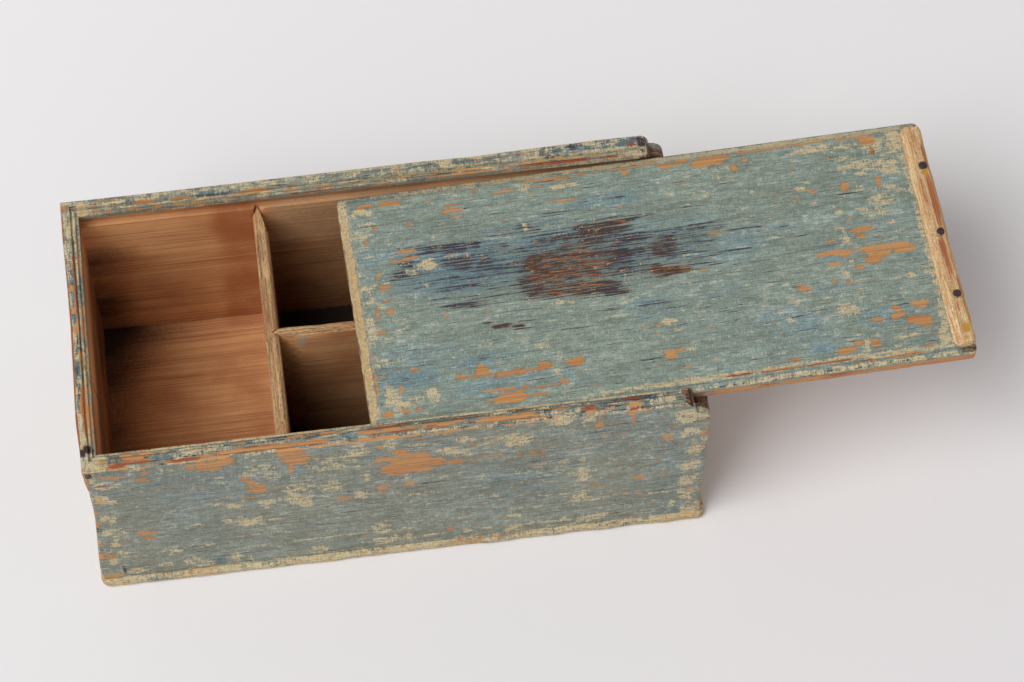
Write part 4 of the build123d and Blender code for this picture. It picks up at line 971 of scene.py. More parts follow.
def batten_paint(name, turn):
    """Cream paint gone yellow over pine, rubbed through to red-brown streaks along the outer half."""
    palette = colours()
    material, tree, shader = new_material(name)
    place = wood_place(tree, turn)
    field = {
        key: add(tree, "ShaderNodeAttribute", attribute_name=key).outputs["Fac"] for key in BATTEN_WEAR
    }
    streaks = grain_noise(tree, place, 20, 1.0, 3, 4, 0.6)
    fibres = grain_noise(tree, place, 12, 0.6, 4, 4, 0.65)
    grit = grain_noise(tree, place, 1.1, 0.8, 5, 3)
    cream_value = weigh(tree, 0.6, [(fibres, 2.2), (streaks, 1.6), (grit, 1.4)])
    colour, _ = lay(tree, palette.batten_wood, palette.batten_cream, cream_value, 0.2, 0.9)
    chalk_value = weigh(tree, 0.0, [(grit, 1.4), (streaks, 1.8)])
    colour, _ = lay(tree, colour, palette.batten_chalk, chalk_value, 0.1, 0.5)
    bare_value = weigh(tree, field["bare"], [(streaks, 1.6), (grit, 1.0)])
    colour, _ = lay(tree, colour, palette.pine, bare_value, 0.4, 0.7)
    red_value = weigh(tree, field["red"], [(streaks, 2.4), (fibres, 2.4), (grit, 1.2)])
    colour, _ = lay(tree, colour, palette.batten_red, red_value, 0.42, 0.95)
    ochre_value = weigh(tree, field["ochre"], [(grit, 2.0), (fibres, 0.8)])
    colour, _ = lay(tree, colour, palette.batten_ochre, ochre_value, 0.35, 0.9)
    tree.links.new(colour, shader.inputs["Base Color"])
    relief = weigh(tree, 0.5, [(fibres, 1.4), (streaks, 1.4), (grit, 0.6)])
    bump = add(tree, "ShaderNodeBump", {"Height": relief, "Strength": 0.7, "Distance": 0.25 * MM})
    tree.links.new(bump.outputs[0], shader.inputs["Normal"])
    shader.inputs["Roughness"].default_value = 0.62
    shader.inputs["Specular IOR Level"].default_value = 0.35
    return material


def forged_iron(name):
    """Hand-forged iron, dark with scale and handling: dull, with hammer facets that catch a little light."""
    material, tree, shader = new_material(name)
    place = wood_place(tree, 0)
    scale = grain_noise(tree, place, 1.1, 1.1, 2, 4, 0.6)
    colour, _ = lay(tree, colours().iron, colours().rust, scale, 0.35, 0.7)
    tree.links.new(colour, shader.inputs["Base Color"])
    bump = add(tree, "ShaderNodeBump", {"Height": scale, "Strength": 0.6, "Distance": 0.25 * MM})
    tree.links.new(bump.outputs[0], shader.inputs["Normal"])
    shader.inputs["Metallic"].default_value = 0.5
    shader.inputs["Roughness"].default_value = 0.55
    return material


def shared_material(name, make):
    """The named material, made the first time that it is asked for."""
    return bpy.data.materials.get(name) or make(name)


def carcass_paint(turn):
    palette = colours()
    name = "brushed_oil_paint_on_pine" if turn == 0 else "brushed_oil_paint_on_cross_pine"
    return shared_material(name, lambda n: painted_pine(n, turn, palette.wall_green, palette.wall_blue))


def inside_pine(turn):
    palette = colours()
    name = "planed_pine_long_grain" if turn == 0 else "planed_pine_cross_grain"
    shades = (palette.old_pine, palette.old_pine_dark, palette.old_pine_red)
    return shared_material(name, lambda n: bare_pine(n, turn, *shades, -0.1, 0.6))


def sawn_pine(turn):
    """The dividers' sawn top edges: paler and rougher than their faces."""
    palette = colours()
    name = "sawn_pine_long_grain" if turn == 0 else "sawn_pine_cross_grain"
    shades = (palette.sawn_pine, palette.sawn_pine_dark, palette.old_pine_dark)
    return shared_material(name, lambda n: bare_pine(n, turn, *shades, 0.25, 2.6))


# What the paint reads at each point: how far pine or cream shows, how stained, how blue, how thickly blue,
# how yellowed or reddened and how dirty it is, and how near an outer arris
FIELDS = ("bare", "cream", "stain", "blue", "deep", "ochre", "red", "grime", "arris")
# What bare pine reads: how far painted shade and a dark crack darken it, how reddened and how pale it is
INSIDE_FIELDS = ("shade_and_dirt", "blush", "pale")

# Where the mesh is cut more closely beside an arris, counted from it
NEAR_ARRIS = (0.3, 0.8, 1.6, 2.4, 3.2, 4.1, 5.0, 5.9, 6.7, 7.6, 8.5, 9.3)
FEW_NEAR_ARRIS = NEAR_ARRIS[:5]
# Spacing of the cuts through a wall's thickness, past those beside its outer face
THICKNESS_STEP = 5.0
# How much coarser than the face step a board's mesh is, where the photograph shows it less closely
BACK_COARSER = 1.6
END_COARSER = 1.4
BASE_COARSER = 2
# Seeds of the made-up wear
LONG_WALL_SEED = 60
END_WALL_SEED = 70


# From the right end: how far the rounded lobes' end grain reaches, and how far their tops show paint. From
# the ledge down, how deep both go, and from the outer face in, where the end grain starts.
LOBE_GRAIN_LENGTH = 13.5
LOBE_PAINT_LENGTH = 16
LOBE_DEPTH = 6
LOBE_INSET = 3.2


def carcass_faces(middles, normals):
    """0, paint, on what shows from outside and on the rim, and 1, bare pine, in the box and its grooves."""
    outer = np.max(np.abs(middles[:, :2]) / CARCASS_HIGH[:2], axis=1) > 0.997
    rim = middles[:, 2] > GROOVE_TOP_Z + 0.1
    at_end = (middles[:, 0] > CARCASS_HIGH[0] - LOBE_PAINT_LENGTH) & (middles[:, 2] > LEDGE_Z - LOBE_DEPTH)
    lobe = at_end & (normals[:, 2] > 0.1)
    return np.where(outer | rim | lobe, 0, 1)


# End grain of the rounded ends beside the lid's way in, dark with handling
LOBE_WEAR = {"stain": 0.9, "red": 0.85, "grime": 0.3, "bare": 0.3, "cream": 0.1}


def unseen_wear(points, seed):
    """Wear of a face that the photograph doesn't show, in the manner of those that it does."""
    drawn = points * np.array([0.4, 0.4, 1])
    return {
        "bare": 0.05 + 0.75 * wander(drawn, 11, seed),
        "cream": 0.2 + 0.55 * wander(drawn, 16, seed + 1),
        "blue": 0.3 + 0.5 * wander(points, 40, seed + 2),
    }


# The fine crack down the inside of the left wall
CRACK_Z = (13, 70, 105)
CRACK_Y = (-8, -13.1, -20.6)


def inside_field(name, points):
    """How dark, reddened or pale the bare pine inside the box is. The darkening is painted shade: shadows
    painted to the right of the cross divider, beside the left wall and on the floor by the back wall, deeper
    low down and weaker on the back wall. The same darkening draws the fine crack down the left wall, and
    there is a reddened band on the back wall."""
    x, y, z = points.T
    if name == "shade_and_dirt":
        crack_y = np.interp(z, CRACK_Z, CRACK_Y)
        on_crack = (x < INNER_LOW[0] + 0.5) * (z > CRACK_Z[0] - 1) * (z < CRACK_Z[-1] + 1)
        crack = smooth(1.3 - np.abs(y - crack_y) / 0.5) * on_crack
        # Painted shadow beside the left wall, strongest low down
        corner = 0.9 * smooth((INNER_LOW[0] + 38 - x) / 38) * smooth((LEDGE_Z - 2 - z) / 34)
        on_floor = z < BASE_HIGH[2] + 1
        # Painted shade is weaker on the back wall, where light falls, stronger on the floor, and deeper
        # lower down
        back_lit = np.where(y > INNER_HIGH[1] - 1, 0.3, 1) + 0.2 * on_floor
        low_down = 1 + 0.35 * smooth((70 - z) / 60)
        # Painted shadow on the floor of the left bay, beside the back wall
        painted_floor_shadow = 0.5 * smooth((y - 24) / 40) * smooth((-72 - x) / 46) * on_floor
        # Painted shade fills the box right of the cross divider; the crack is drawn in the same dark colour
        return smooth((x + 54) / 6) * back_lit * low_down + corner + painted_floor_shadow + 1.1 * crack
    if name == "blush":
        return 0.1 + 0.5 * (y > 60) * smooth(1.6 - np.abs(x + 66) / 9)
    return 0.5 * (y > 60) * smooth((x + 52) / 4) * smooth((z - 50) / 30)


def wall_fields(rim_wear, face_wear, along_of, inset_of, seed):
    """The fields that a wall's paint reads: its patches of wear on the rim and the face, or made-up wear."""

    def field(name, points):
        inset = inset_of(points)
        along = along_of(points)
        on_rim = (points[:, 2] > GROOVE_TOP_Z + 1.4) & (inset > 0.2)
        in_front = face_wear is not None
        if name in INSIDE_FIELDS:
            return inside_field(name, points)
        if name == "arris":
            return arris_nearness(points, CARCASS_FOOT, CARCASS_HIGH, 2.0)
        if face_wear is None:
            face = unseen_wear(points, seed).get(name, np.zeros(len(points)))
        else:
            face = patch_field(along, points[:, 2], face_wear.get(name, ()))
            if name == "cream":
                face = np.maximum(face, 0.06 + 0.14 * wander(points * np.array([0.4, 1, 1]), 18, 5))
            if name == "blue":
                face = 0.3 + 0.5 * wander(points, 40, 5)
        rim = patch_field(along, inset, rim_wear.get(name, ()))
        if name == "bare":
            rim = rim * (0.94 + 0.45 * wander(points * np.array([0.6, 0.6, 1]), 3.2, 17))
        if name == "cream":
            worn_through = 0.34 if in_front else 0.52
            rim = np.maximum(rim, worn_through + 0.36 * wander(points * np.array([0.6, 0.6, 1]), 3.6, 18))
        if name == "deep":
            thick = (0.46 if in_front else 0.18) + 0.4 * wander(points * np.array([0.5, 0.5, 1]), 4.4, 19)
            rim = np.maximum(rim, thick * smooth((points[:, 0] + 136) / 6))
        if name == "stain":
            rim = np.maximum(rim, 0.1 + 0.55 * wander(points * np.array([0.5, 0.5, 1]), 2.6, 20))
        at_end = (points[:, 0] > CARCASS_HIGH[0] - LOBE_GRAIN_LENGTH) & (inset > LOBE_INSET)
        at_lobe = at_end & (points[:, 2] > LEDGE_Z - LOBE_DEPTH) & (points[:, 2] < GROOVE_TOP_Z + 2)
        lobe = LOBE_WEAR.get(name, 0.05) + 0.3 * wander(points, 4, 15)
        return np.where(at_lobe, lobe, np.where(on_rim, rim, face))

    return {name: lambda points, name=name: field(name, points) for name in FIELDS + INSIDE_FIELDS}


class SPICEBOX_OT_long_walls(bpy.types.Operator):
    """Builds the worn front and back walls"""

    bl_idname = "spicebox.long_walls"
    bl_label = "Long walls"

    def execute(self, context):
        for node, side, rim_wear, face_wear in (
            ("front_wall", -1, FRONT_RIM_WEAR, FRONT_WEAR),
            ("back_wall", 1, BACK_RIM_WEAR, None),
        ):
            low, high = node_box(node)
            bm = flat_wood(node)
            step = sizes().face_step / MM * (1.0 if side < 0 else BACK_COARSER)
            cut_across(bm, 0, cut_places(low[0], high[0], step, FEW_NEAR_ARRIS))
            cut_across(bm, 2, cut_places(low[2], high[2], step, FEW_NEAR_ARRIS, near_low=False))
            cut_across(bm, 1, cut_places(low[1], high[1], THICKNESS_STEP, NEAR_ARRIS, side < 0, side > 0))
            build_piece(
                node + "_painted",
                bm,
                [carcass_paint(0), inside_pine(0)],
                carcass_faces,
                wall_fields(
                    rim_wear,
                    face_wear,
                    lambda points: points[:, 0] - CARCASS_LOW[0],
                    lambda points, side=side: CARCASS_HIGH[1] - side * points[:, 1],
                    LONG_WALL_SEED,
                ),
                worn_carcass,
                [node],
                "box",
            )
        return {"FINISHED"}


class SPICEBOX_OT_end_walls(bpy.types.Operator):
    """Builds the worn left end wall and the low right one"""

    bl_idname = "spicebox.end_walls"
    bl_label = "End walls"

    def execute(self, context):
        for node, side, rim_wear in (("left_end_wall", -1, LEFT_RIM_WEAR), ("right_end_wall", 1, {})):
            low, high = node_box(node)
            bm = flat_wood(node)
            step = sizes().face_step / MM * END_COARSER
            places = cut_places(low[1], high[1], step, FEW_NEAR_ARRIS)
            if node == "left_end_wall":
                # Close cuts around the crack, and in the dark wear beside the front corner
                places += [-24 + 0.45 * i for i in range(44)]
                places += [low[1] + 9 + 0.6 * i for i in range(12)]
            cut_across(bm, 1, places)
            cut_across(bm, 2, cut_places(low[2], high[2], step, FEW_NEAR_ARRIS, near_low=False))
            cut_across(bm, 0, cut_places(low[0], high[0], THICKNESS_STEP, NEAR_ARRIS, side < 0, side > 0))
            build_piece(
                node + "_painted",
                bm,
                [carcass_paint(radians(90)), inside_pine(radians(90))],
                carcass_faces,
                wall_fields(
                    rim_wear,
                    None,
                    lambda points: points[:, 1] - CARCASS_LOW[1],
                    lambda points, side=side: CARCASS_HIGH[0] - side * points[:, 0],
                    END_WALL_SEED + side,
                ),
                worn_carcass,
                [node],
                "box",
            )
        return {"FINISHED"}


class SPICEBOX_OT_base(bpy.types.Operator):
    """Builds the worn base board"""

    bl_idname = "spicebox.base"
    bl_label = "Base board"

    def execute(self, context):
        low, high = node_box("base_board")
        bm = flat_wood("base_board")
        step = sizes().face_step / MM * BASE_COARSER
        cut_across(bm, 0, cut_places(low[0], high[0], step, NEAR_ARRIS))
        cut_across(bm, 1, cut_places(low[1], high[1], step, NEAR_ARRIS))

        def faces(middles, normals):
            outside = np.max(np.abs(middles[:, :2]) / CARCASS_HIGH[:2], axis=1) > 1.0
            return np.where(outside & (middles[:, 2] > 0.3), 0, 1)

        def move(points):
            out = np.clip((np.abs(points[:, :2]) - CARCASS_HIGH[:2]) / 2.5, 0, 1)
            wear = 0.5 * wander(points, 14, 6) + 0.35 * wander(points, 4, 7) - 0.3
            moved = points.copy()
            moved[:, :2] += np.sign(points[:, :2]) * out * np.minimum(wear, 0)[:, None]
            return moved

        build_piece(
            "base_board_painted",
            bm,
            [carcass_paint(0), inside_pine(0)],
            faces,
            {
                "bare": lambda points: 0.2 + 0.4 * wander(points, 18, 8),
                "cream": lambda points: 0.95 + 0.35 * wander(points, 26, 9),
                "ochre": lambda points: 0.2 + 0.35 * wander(points, 20, 10),
                "grime": lambda points: 0.4 * np.clip(1 - points[:, 2], 0, 1),
                "deep": lambda points: 0.5 + 0.5 * wander(points, 12, 16),
                **{name: lambda points: np.zeros(len(points)) for name in ("stain", "blue", "red", "arris")},
                **{name: lambda points, name=name: inside_field(name, points) for name in INSIDE_FIELDS},
            },
            move,
            ["base_board"],
            "box",
        )
        return {"FINISHED"}


class SPICEBOX_OT_dividers(bpy.types.Operator):
    """Builds the two whittled dividers"""

    bl_idname = "spicebox.dividers"
    bl_label = "Dividers"

    def execute(self, context):
        for node, axis in (("cross_divider", 1), ("long_divider", 0)):
            low, high = node_box(node)
            bm = flat_wood(node)
            cut_across(bm, axis, cut_places(low[axis], high[axis], 2.5))
            cut_across(bm, 2, cut_places(low[2], high[2], 8.0, NEAR_ARRIS[:6], near_low=False))
            cut_across(bm, 1 - axis, cut_places(low[1 - axis], high[1 - axis], 1.2))

            def move(points, low=low, high=high, axis=axis):
                near_top = np.clip(1 - (high[2] - points[:, 2]) / 5, 0, 1) ** 2
                moved = points.copy()
                drop = 0.4 + 0.5 * wander(points, 9, 11) + 0.25 * wander(points, 3, 12)
                moved[:, 2] -= near_top * np.clip(drop, 0, 1.4)
                middle = (low[1 - axis] + high[1 - axis]) / 2
                pinch = near_top * np.clip(0.16 + 0.14 * wander(points, 8, 13), 0, 0.4)
                moved[:, 1 - axis] = middle + (moved[:, 1 - axis] - middle) * (1 - pinch)
                return moved

            def pale(points):
                on_face = points[:, 1] < -6.5
                return patch_field(points[:, 0], points[:, 2], LONG_DIVIDER_WEAR) * on_face

            turn = 0 if axis == 0 else radians(90)
            build_piece(
                node + "_pine",
                bm,
                [inside_pine(turn), sawn_pine(turn)],
                lambda middles, normals: np.where(normals[:, 2] > 0.3, 1, 0),
                {"pale": pale} if axis == 0 else {},
                move,
                [node],
                "box",
            )
        return {"FINISHED"}


# Above the lid's underside: where its edges end and its bevels start, and where it starts to dip and chip
LID_EDGE = 5.45
LID_RIGID = 4


def lid_wood(node_name):
    """A lid node's flat mesh, turned and moved so that the lid's front left corner is the origin."""
    bm = flat_wood(node_name)
    bmesh.ops.transform(bm, matrix=Matrix.Rotation(-LID_SKEW, 4, "Z"), verts=bm.verts)
    bmesh.ops.translate(bm, vec=(-LID_LEFT, -LID_FRONT, 0), verts=bm.verts)
    return bm


def back_askew(points):
    """Points of the lid's own frame, put back where the lid lies in the box."""
    x, y = points[:, 0] + LID_LEFT, points[:, 1] + LID_FRONT
    turned = points.copy()
    turned[:, 0] = x * cos(LID_SKEW) - y * sin(LID_SKEW)
    turned[:, 1] = x * sin(LID_SKEW) + y * cos(LID_SKEW)
    return turned


class SPICEBOX_OT_lid(bpy.types.Operator):
    """Builds the worn lid board"""

    bl_idname = "spicebox.lid"
    bl_label = "Lid"

    def execute(self, context):
        bm = lid_wood("lid_board")
        step = sizes().lid_step / MM
        cut_across(bm, 0, cut_places(0, LID_LENGTH, step, NEAR_ARRIS[:8]))
        cut_across(bm, 1, cut_places(0, LID_WIDTH, step, NEAR_ARRIS[:8]))
        cut_across(bm, 2, cut_places(LID_BOTTOM_Z, LID_TOP_Z, 1.4, (0.3, 0.8)))
        low = np.array([0, 0, LID_BOTTOM_Z])
        high = np.array([LID_LENGTH, LID_WIDTH, LID_TOP_Z])

        def field(name, points):
            on_top = points[:, 2] > LID_BOTTOM_Z + LID_EDGE
            along, across = points[:, 0], points[:, 1]
            value = patch_field(along, across, LID_WEAR.get(name, ()))
            if name == "arris":
                return arris_nearness(points, low, high, 1.6)
            if name == "blue":
                value = value + 0.25 * wander(points, 30, 24)
            if name == "cream":
                value = np.maximum(value, 0.06 + 0.17 * wander(points * np.array([0.5, 1, 1]), 16, 25))
            edge = {"bare": 0.8 + 0.4 * wander(points, 12, 26), "red": 0.15 + 0.5 * wander(points, 16, 27)}
            return np.where(on_top, value, edge.get(name, 0))

        def move(points):
            swell = 0.8 * wander(points, 8, 21) + 0.5 * wander(points, 3, 22)
            radius = np.clip(0.7 * (1 + swell), 0.25, 2.2)
            worn = rounded(points, low, high, radius)
            upper = points[:, 2] > LID_BOTTOM_Z + LID_RIGID
            dip = 0.18 * wander(points * np.array([0.25, 1, 1]), 12, 23)
            worn[:, 2] += np.where(upper, np.minimum(dip, 0), 0)
            bitten = np.clip(1 - points[:, 0] / 3.5, 0, 1) * upper
            bite = 0.35 + 0.6 * wander(points, 5, 28) + 0.4 * wander(points, 2.2, 29)
            worn[:, 0] += bitten * np.clip(bite, 0, 1.4)
            return back_askew(worn)

        palette = colours()
        lid_paint = shared_material(
            "brushed_oil_paint_on_lid_pine",
            lambda n: painted_pine(n, LID_SKEW, palette.lid_green, palette.lid_blue),
        )
        build_piece(
            "lid_board_painted",
            bm,
            [lid_paint, inside_pine(0)],
            lambda middles, normals: np.where(middles[:, 2] > LID_BOTTOM_Z + 0.2, 0, 1),
            {name: lambda points, name=name: field(name, points) for name in FIELDS},
            move,
            ["lid_board"],
            "lid",
        )
        return {"FINISHED"}


class SPICEBOX_OT_batten(bpy.types.Operator):
    """Builds the worn batten across the lid's end"""

    bl_idname = "spicebox.batten"
    bl_label = "Batten"

    def execute(self, context):
        bm = lid_wood("lid_batten")
        points = np.array([v.co for v in bm.verts])
        low, high = points.min(0), points.max(0)
        cut_across(bm, 1, cut_places(low[1], high[1], 1.6, NEAR_ARRIS))
        cut_across(bm, 0, cut_places(low[0], high[0], 1.2, (0.3, 0.8)))

        def move(points):
            swell = 0.8 * wander(points, 7, 31) + 0.4 * wander(points, 2.5, 32)
            radius = np.clip(0.9 * (1 + swell), 0.3, 2.2)
            worn = rounded(points, (low[0], low[1], low[2] - 5), high, radius)
            raised = points[:, 2] > low[2] + 0.3
            worn[:, 2] += np.where(raised, 0.35 * wander(points * np.array([1, 0.35, 1]), 4, 33) - 0.1, 0)
            worn[:, 0] += np.where(raised, 0.25 * wander(points, 9, 34), 0)
            return back_askew(worn)

        def field(name, points):
            return patch_field(points[:, 0], points[:, 1], BATTEN_WEAR[name])

        paint = shared_material(
            "yellowed_cream_paint_on_pine", lambda n: batten_paint(n, radians(90) + LID_SKEW)
        )
        build_piece(
            "lid_batten_painted",
            bm,
            [paint],
            lambda middles, normals: np.zeros(len(middles)),
            {name: lambda points, name=name: field(name, points) for name in BATTEN_WEAR},
            move,
            ["lid_batten"],
            "lid",
        )
        return {"FINISHED"}


NAIL_HEAD_HEIGHT = 0.9
# A head's crown is this share of its width from the middle
NAIL_CROWN = 0.36
# The hammer's dents, and the shank's radii under the head and at the tip, in metres
NAIL_DENT = (0.0006, 0.0006, 0.00035)
SHANK_TOP = 0.0011
SHANK_TIP = 0.00045
# How far nails lean and turn, in radians
NAIL_TURN = (0.05, 0.05, 0.4)
# How far the shank is shorter than the whole nail, and how far under its crown each head is seated
NAIL_HEAD_PART = 1.2
LID_NAIL_SEAT = 1.3
BASE_NAIL_SEAT = 1.5
CORNER_NAIL_SEAT = 1.0
# The corner nail's head is this share of the usual width
CORNER_NAIL_SHARE = 0.7


def nail_tree():
    """Geometry nodes that put a forged nail, head and shank, on each point of a mesh, heads along Z."""
    tree = bpy.data.node_groups.new("Forged nails", "GeometryNodeTree")
    for name, kind in (
        ("Geometry", "NodeSocketGeometry"),
        ("Head width", "NodeSocketFloat"),
        ("Head height", "NodeSocketFloat"),
        ("Shank length", "NodeSocketFloat"),
        ("Seed", "NodeSocketInt"),
        ("Iron", "NodeSocketMaterial"),
    ):
        tree.interface.new_socket(name, in_out="INPUT", socket_type=kind)
    tree.interface.new_socket("Geometry", in_out="OUTPUT", socket_type="NodeSocketGeometry")
    given = add(tree, "NodeGroupInput").outputs
    width = given["Head width"]
    half = add(tree, "ShaderNodeMath", {0: width, 1: 0.5}, operation="MULTIPLY").outputs[0]
    top = add(tree, "ShaderNodeMath", {0: width, 1: NAIL_CROWN}, operation="MULTIPLY").outputs[0]
    head = add(
        tree,
        "GeometryNodeMeshCone",
        {
            "Vertices": 8,
            "Fill Segments": 2,
            "Radius Top": top,
            "Radius Bottom": half,
            "Depth": given["Head height"],
        },
    )
    dents = add(tree, "ShaderNodeTexNoise", {"Scale": 900.0, "Detail": 1.0})
    dent = add(
        tree,
        "ShaderNodeVectorMath",
        {0: dents.outputs["Color"], 1: NAIL_DENT},
        operation="MULTIPLY",
    )
    hammered = add(
        tree, "GeometryNodeSetPosition", {"Geometry": head.outputs["Mesh"], "Offset": dent.outputs[0]}
    )
    shank = add(
        tree,
        "GeometryNodeMeshCone",
        {
            "Vertices": 4,
            "Radius Top": SHANK_TOP,
            "Radius Bottom": SHANK_TIP,
            "Depth": given["Shank length"],
        },
    )
    drop = add(tree, "ShaderNodeMath", {0: given["Shank length"], 1: -1.0}, operation="MULTIPLY").outputs[0]
    lowered = add(tree, "ShaderNodeCombineXYZ", {"Z": drop})
    seated = add(
        tree,
        "GeometryNodeTransform",
        {"Geometry": shank.outputs["Mesh"], "Translation": lowered.outputs[0]},
    )
    whole = add(tree, "GeometryNodeJoinGeometry")
    tree.links.new(seated.outputs[0], whole.inputs[0])
    tree.links.new(hammered.outputs[0], whole.inputs[0])
    turn = add(
        tree,
        "FunctionNodeRandomValue",
        {0: tuple(-most for most in NAIL_TURN), 1: NAIL_TURN, "Seed": given["Seed"]},
        data_type="FLOAT_VECTOR",
    )
    placed = add(
        tree,
        "GeometryNodeInstanceOnPoints",
        {"Points": given["Geometry"], "Instance": whole.outputs[0], "Rotation": turn.outputs[0]},
    )
    real = add(tree, "GeometryNodeRealizeInstances", {"Geometry": placed.outputs[0]})
    painted = add(tree, "GeometryNodeSetMaterial", {"Geometry": real.outputs[0], "Material": given["Iron"]})
    add(tree, "NodeGroupOutput", {0: painted.outputs[0]})
    return tree


def place_nails(piece_name, spots, width, length, node, body, turn=None):
    """Puts forged nails at the spots, the middles of their heads' undersides in millimetres. width is their
    heads' share of the usual width, and turn turns their heads from facing up."""
    tree = bpy.data.node_groups.get("Forged nails") or nail_tree()
    iron = shared_material("hand_forged_iron", forged_iron)
    seeds = bpy.data.meshes.new(piece_name + "_spots")
    turned = turn or Matrix.Identity(3)
    back = turned.inverted()
    seeds.from_pydata([back @ Vector(s) * MM for s in spots], [], [])
    carrier = bpy.data.objects.new(piece_name + "_spots", seeds)
    bpy.context.scene.collection.objects.link(carrier)
    modifier = carrier.modifiers.new("Nails", "NODES")
    modifier.node_group = tree
    values = {
        "Head width": sizes().nail_head * width,
        "Head height": NAIL_HEAD_HEIGHT * MM,
        "Shank length": length * MM,
        "Seed": sizes().nail_seed,
        "Iron": iron,
    }
    for item in tree.interface.items_tree:
        if item.item_type == "SOCKET" and item.in_out == "INPUT" and item.name in values:
            modifier[item.identifier] = values[item.name]
    bpy.context.view_layer.update()
    evaluated = carrier.evaluated_get(bpy.context.evaluated_depsgraph_get())
    mesh = bpy.data.meshes.new_from_object(evaluated)
    bpy.data.objects.remove(carrier)
    mesh.transform(turned.to_4x4())
    mesh.name = piece_name
    piece = bpy.data.objects.new(piece_name, mesh)
    bpy.context.scene.collection.objects.link(piece)
    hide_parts(node)
    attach(piece, body)


def nail_points(node):
    """Each nail's points in millimetres, for the separate solids of a nail node."""
    bm = bmesh.new()
    bm.from_mesh(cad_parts[node].data)
    bmesh.ops.remove_doubles(bm, verts=bm.verts, dist=1e-6)
    bm.verts.ensure_lookup_table()
    seen, nails = set(), []
    for start in bm.verts:
        if start.index in seen:
            continue
        group, queue = [], [start]
        seen.add(start.index)
        while queue:
            vertex = queue.pop()
            group.append(vertex.co / MM)
            for edge in vertex.link_edges:
                other = edge.other_vert(vertex)
                if other.index not in seen:
                    seen.add(other.index)
                    queue.append(other)
        nails.append(np.array(group))
    bm.free()
    return nails


class SPICEBOX_OT_nails(bpy.types.Operator):
    """Drives the forged nails"""

    bl_idname = "spicebox.nails"
    bl_label = "Nails"

    def execute(self, context):
        lid_spots = []
        for points in nail_points("lid_nails"):
            low, high = points.min(0), points.max(0)
            middle = low / 2 + high / 2
            lid_spots.append((middle[0], middle[1], high[2] - LID_NAIL_SEAT))
            length = high[2] - low[2] - NAIL_HEAD_PART
        place_nails("lid_nails_forged", lid_spots, 1.0, length, "lid_nails", "lid")

        over_turn = Matrix.Rotation(radians(180), 3, "X")
        base_spots = []
        for points in nail_points("base_nails"):
            low, high = points.min(0), points.max(0)
            middle = low / 2 + high / 2
            base_spots.append((middle[0], middle[1], low[2] + BASE_NAIL_SEAT))
            length = high[2] - low[2] - NAIL_HEAD_PART
        place_nails("base_nails_forged", base_spots, 1.0, length, "base_nails", "box", over_turn)

        out_turn = Matrix.Rotation(radians(90), 3, "X")
        points = nail_points("corner_nail")[0]
        low, high = points.min(0), points.max(0)
        middle = low / 2 + high / 2
        spot = (middle[0], low[1] + CORNER_NAIL_SEAT, middle[2])
        length = high[1] - low[1] - NAIL_HEAD_PART
        place_nails(
            "corner_nail_forged", [spot], CORNER_NAIL_SHARE, length, "corner_nail", "box", out_turn
        )
        return {"FINISHED"}


# The photograph's camera: focal length and pose worked out from the box's own corners
CAMERA_LENS = 111.194
CAMERA_PLACE = (-0.03693, -0.775562, 1.433569)
CAMERA_RIGHT = (0.99169735, -0.12859336, 0.00033669)
CAMERA_UP = (0.11149342, 0.86112329, 0.49602007)
CAMERA_BACK = (-0.06407482, -0.49186424, 0.86831099)

# The light falls from the left and a little from the front, 55 degrees above the floor. Its soft box is
# square, with sides in metres.
KEY_TRAVEL = Vector((0.478, 0.309, -0.823))
KEY_TARGET = Vector((0.08, 0, 0.06))
KEY_DISTANCE = 4.0
KEY_SIDE = 2.5
KEY_POWER = 127.0
KEY_COLOUR = (1.0, 0.99, 0.985)

# The light from all around is stronger at the horizon than overhead
SKY_AT_HORIZON = 0.93
SKY_OVERHEAD = 0.14

FLOOR_REACH = 6.0


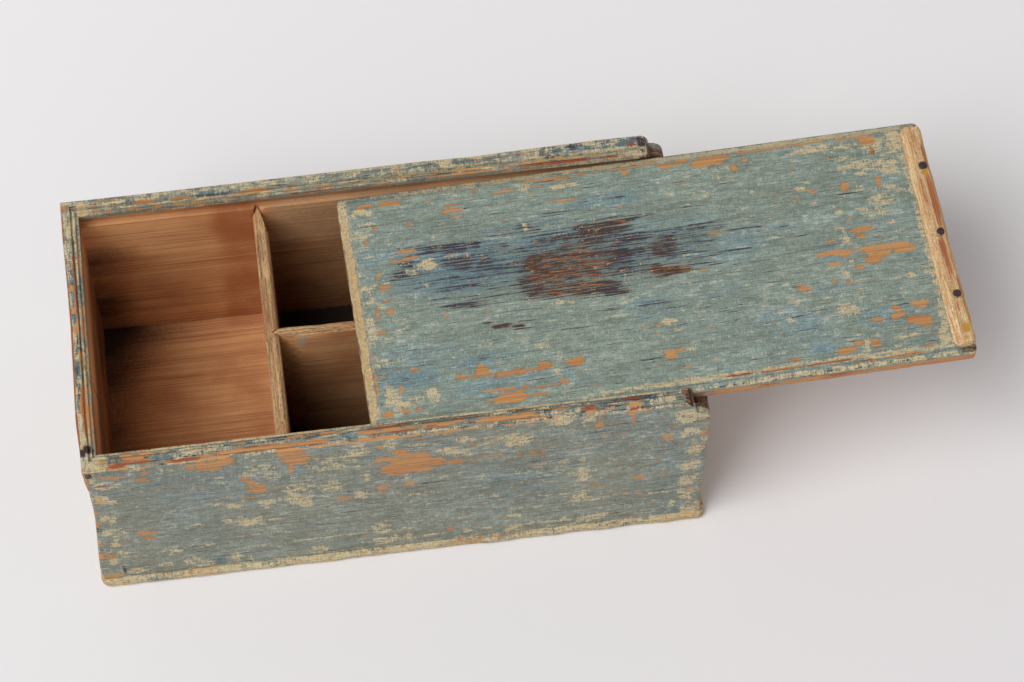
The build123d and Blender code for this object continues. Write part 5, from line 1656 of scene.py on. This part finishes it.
class SPICEBOX_OT_stage(bpy.types.Operator):
    """Sets the floor, the lights, the world and the camera"""

    bl_idname = "spicebox.stage"
    bl_label = "Stage"

    def execute(self, context):
        scene = context.scene
        scene.view_settings.view_transform = "Standard"
        mesh = bpy.data.meshes.new("floor")
        corners = [(x * FLOOR_REACH, y * FLOOR_REACH, 0) for x, y in ((-1, -1), (1, -1), (1, 1), (-1, 1))]
        mesh.from_pydata(corners, [], [(0, 1, 2, 3)])
        floor = bpy.data.objects.new("floor", mesh)
        scene.collection.objects.link(floor)
        material, tree, shader = new_material("matt_paper_backdrop_painted_light")
        # Painted light: the backdrop's colour grows lighter towards the back of the floor
        sweep = add(tree, "ShaderNodeTexCoord").outputs["Object"]
        depth = add(tree, "ShaderNodeSeparateXYZ", {0: sweep}).outputs["Y"]
        paper, _ = lay(tree, colours().backdrop, colours().backdrop_far_painted_light, depth, -0.3, 0.5)
        tree.links.new(paper, shader.inputs["Base Color"])
        shader.inputs["Roughness"].default_value = 0.9
        mesh.materials.append(material)

        lamp = bpy.data.lights.new("key_light", "AREA")
        lamp.size = KEY_SIDE
        lamp.energy = KEY_POWER
        lamp.color = KEY_COLOUR
        holder = bpy.data.objects.new("key_light", lamp)
        holder.location = KEY_TARGET - KEY_TRAVEL * KEY_DISTANCE
        holder.rotation_euler = KEY_TRAVEL.to_track_quat("-Z", "Y").to_euler()
        scene.collection.objects.link(holder)

        world = bpy.data.worlds.new("studio")
        scene.world = world
        world.use_nodes = True
        tree = world.node_tree
        direction = add(tree, "ShaderNodeTexCoord").outputs["Generated"]
        height = add(tree, "ShaderNodeSeparateXYZ", {0: direction}).outputs["Z"]
        level = add(
            tree,
            "ShaderNodeMapRange",
            {
                "Value": height,
                "From Min": 0.0,
                "From Max": 1.0,
                "To Min": SKY_AT_HORIZON,
                "To Max": SKY_OVERHEAD,
            },
        )
        background = tree.nodes["Background"]
        background.inputs["Color"].default_value = colours().sky
        tree.links.new(level.outputs[0], background.inputs["Strength"])

        lens = bpy.data.cameras.new("camera")
        lens.lens = CAMERA_LENS
        lens.sensor_width = 36.0
        camera = bpy.data.objects.new("camera", lens)
        camera.matrix_world = Matrix(
            [*zip(CAMERA_RIGHT, CAMERA_UP, CAMERA_BACK, CAMERA_PLACE), (0, 0, 0, 1)]
        )
        scene.collection.objects.link(camera)
        scene.camera = camera
        return {"FINISHED"}


class SPICEBOX_PT_panel(bpy.types.Panel):
    """Lists the steps in the order that they run"""

    bl_idname = "SPICEBOX_PT_panel"
    bl_label = "Spice Box"
    bl_space_type = "VIEW_3D"
    bl_region_type = "UI"
    bl_category = "Spice Box"

    def draw(self, context):
        for step in STEPS:
            self.layout.operator(step.bl_idname)
        for group in (context.scene.spice_box_sizes, context.scene.spice_box_colours):
            for name in group.__annotations__:
                self.layout.prop(group, name)


STEPS = (
    SPICEBOX_OT_stage,
    SPICEBOX_OT_long_walls,
    SPICEBOX_OT_end_walls,
    SPICEBOX_OT_base,
    SPICEBOX_OT_dividers,
    SPICEBOX_OT_lid,
    SPICEBOX_OT_batten,
    SPICEBOX_OT_nails,
)
CLASSES = (SpiceBoxColours, SpiceBoxSizes, *STEPS, SPICEBOX_PT_panel)


def register():
    for item in CLASSES:
        bpy.utils.register_class(item)
    bpy.types.Scene.spice_box_colours = PointerProperty(type=SpiceBoxColours)
    bpy.types.Scene.spice_box_sizes = PointerProperty(type=SpiceBoxSizes)


def unregister():
    del bpy.types.Scene.spice_box_sizes
    del bpy.types.Scene.spice_box_colours
    for item in reversed(CLASSES):
        bpy.utils.unregister_class(item)


def main():
    register()
    for step in STEPS:
        group, name = step.bl_idname.split(".")
        getattr(getattr(bpy.ops, group), name)()


if __name__ == "__main__":
    main()
